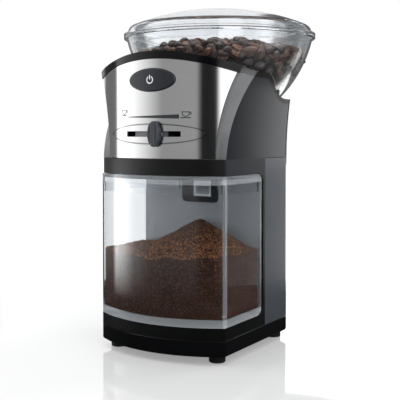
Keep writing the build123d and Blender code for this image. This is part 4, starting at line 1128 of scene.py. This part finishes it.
CARD_RINGS = {
    "ring_low": (0.001, 0.14, BIN_LEVELS),
    "ring_middle": (0.14, 0.205, STEEL_LEVELS + REAR_LEVELS),
    "ring_high": (0.205, 0.8, STEEL_LEVELS + HOPPER_LEVELS),
}
print("rings:", {name: len(levels) for name, (bottom, top, levels) in CARD_RINGS.items()})


# %% Card helpers
def one_sided(name):
    finish, tree, shader = finish_of(name)
    tree.nodes.remove(shader)
    glow = tree.nodes.new("ShaderNodeEmission")
    side = tree.nodes.new("ShaderNodeNewGeometry")
    see_through = tree.nodes.new("ShaderNodeBsdfTransparent")
    shown = either_of(tree, side.outputs["Backfacing"], glow.outputs["Emission"], see_through.outputs["BSDF"])
    feed(tree, tree.nodes["Material Output"].inputs["Surface"], shown)
    return finish, tree, glow.inputs


def by_bearing(tree, place, levels):
    bearing = tree.nodes.new("ShaderNodeTexGradient")
    bearing.gradient_type = "RADIAL"
    feed(tree, bearing.inputs["Vector"], place)
    ramp = tree.nodes.new("ShaderNodeValToRGB")
    stops = ramp.color_ramp.elements
    stops.remove(stops[1])
    for index, (degree, level) in enumerate(levels):
        at = (degree + 90) / 360
        stop = stops.new(at) if index else stops[0]
        stop.position = at
        stop.color = (*[level / BRIGHTEST] * 3, 1)
    feed(tree, ramp.inputs["Fac"], bearing.outputs["Fac"])
    return ramp.outputs["Color"]


def stand_card(piece, finish):
    piece.data.materials.append(finish)
    for ray in ("camera", "diffuse", "shadow"):
        setattr(piece, "visible_" + ray, False)
    print(piece.name, "stands in the studio")


print("card helpers: one_sided, by_bearing, stand_card")

# %% [markdown]
# Each ring is a cylinder without ends, turned inside out, so that only its inner face glows. In front it
# fades out towards the table, or its foot would stand as a bright line in the black base.

# %% Rings of card
CARD_RADIUS = 0.3
FADE, FOOT_GLOW = 0.05, 0.03
for name, (bottom, top, levels) in CARD_RINGS.items():
    start()
    bpy.ops.mesh.primitive_cylinder_add(
        vertices=96, radius=CARD_RADIUS, depth=top - bottom, end_fill_type="NOTHING",
        location=(0, 0, (bottom + top) / 2),
    )
    ring = settle(named(name))
    pick(ring, "polygons", lambda f: True)
    bpy.ops.mesh.flip_normals()
    leave_edit()
    card, tree, glow = one_sided(name)
    place = places(tree)
    feed(tree, glow["Color"], by_bearing(tree, place, levels))
    spot = axes(tree, place)
    off_table = spread(tree, spot["Z"], FOOT_GLOW, BRIGHTEST, 0.0, FADE)
    behind = spread(tree, spot["Y"], 0.0, BRIGHTEST, 0.0, FADE)
    feed(tree, glow["Strength"], maths(tree, "MAXIMUM", off_table, behind))
    stand_card(ring, card)

# %% [markdown]
# The base is black, yet a glossy black beside a white table would mirror it and turn grey. A photographer
# lays dark card on the table for that. Here one lies about the feet, and the camera doesn't see it.

# %% Dark card on the table
TABLE_CARD_UP = 0.0009
start()
bpy.ops.mesh.primitive_circle_add(
    vertices=64, radius=CARD_RADIUS, fill_type="NGON", location=(0, 0, TABLE_CARD_UP)
)
table_card = settle(named("table_card"))
dark_card, tree, glow = one_sided("dark_card")
glow["Strength"].default_value = FOOT_GLOW
stand_card(table_card, dark_card)
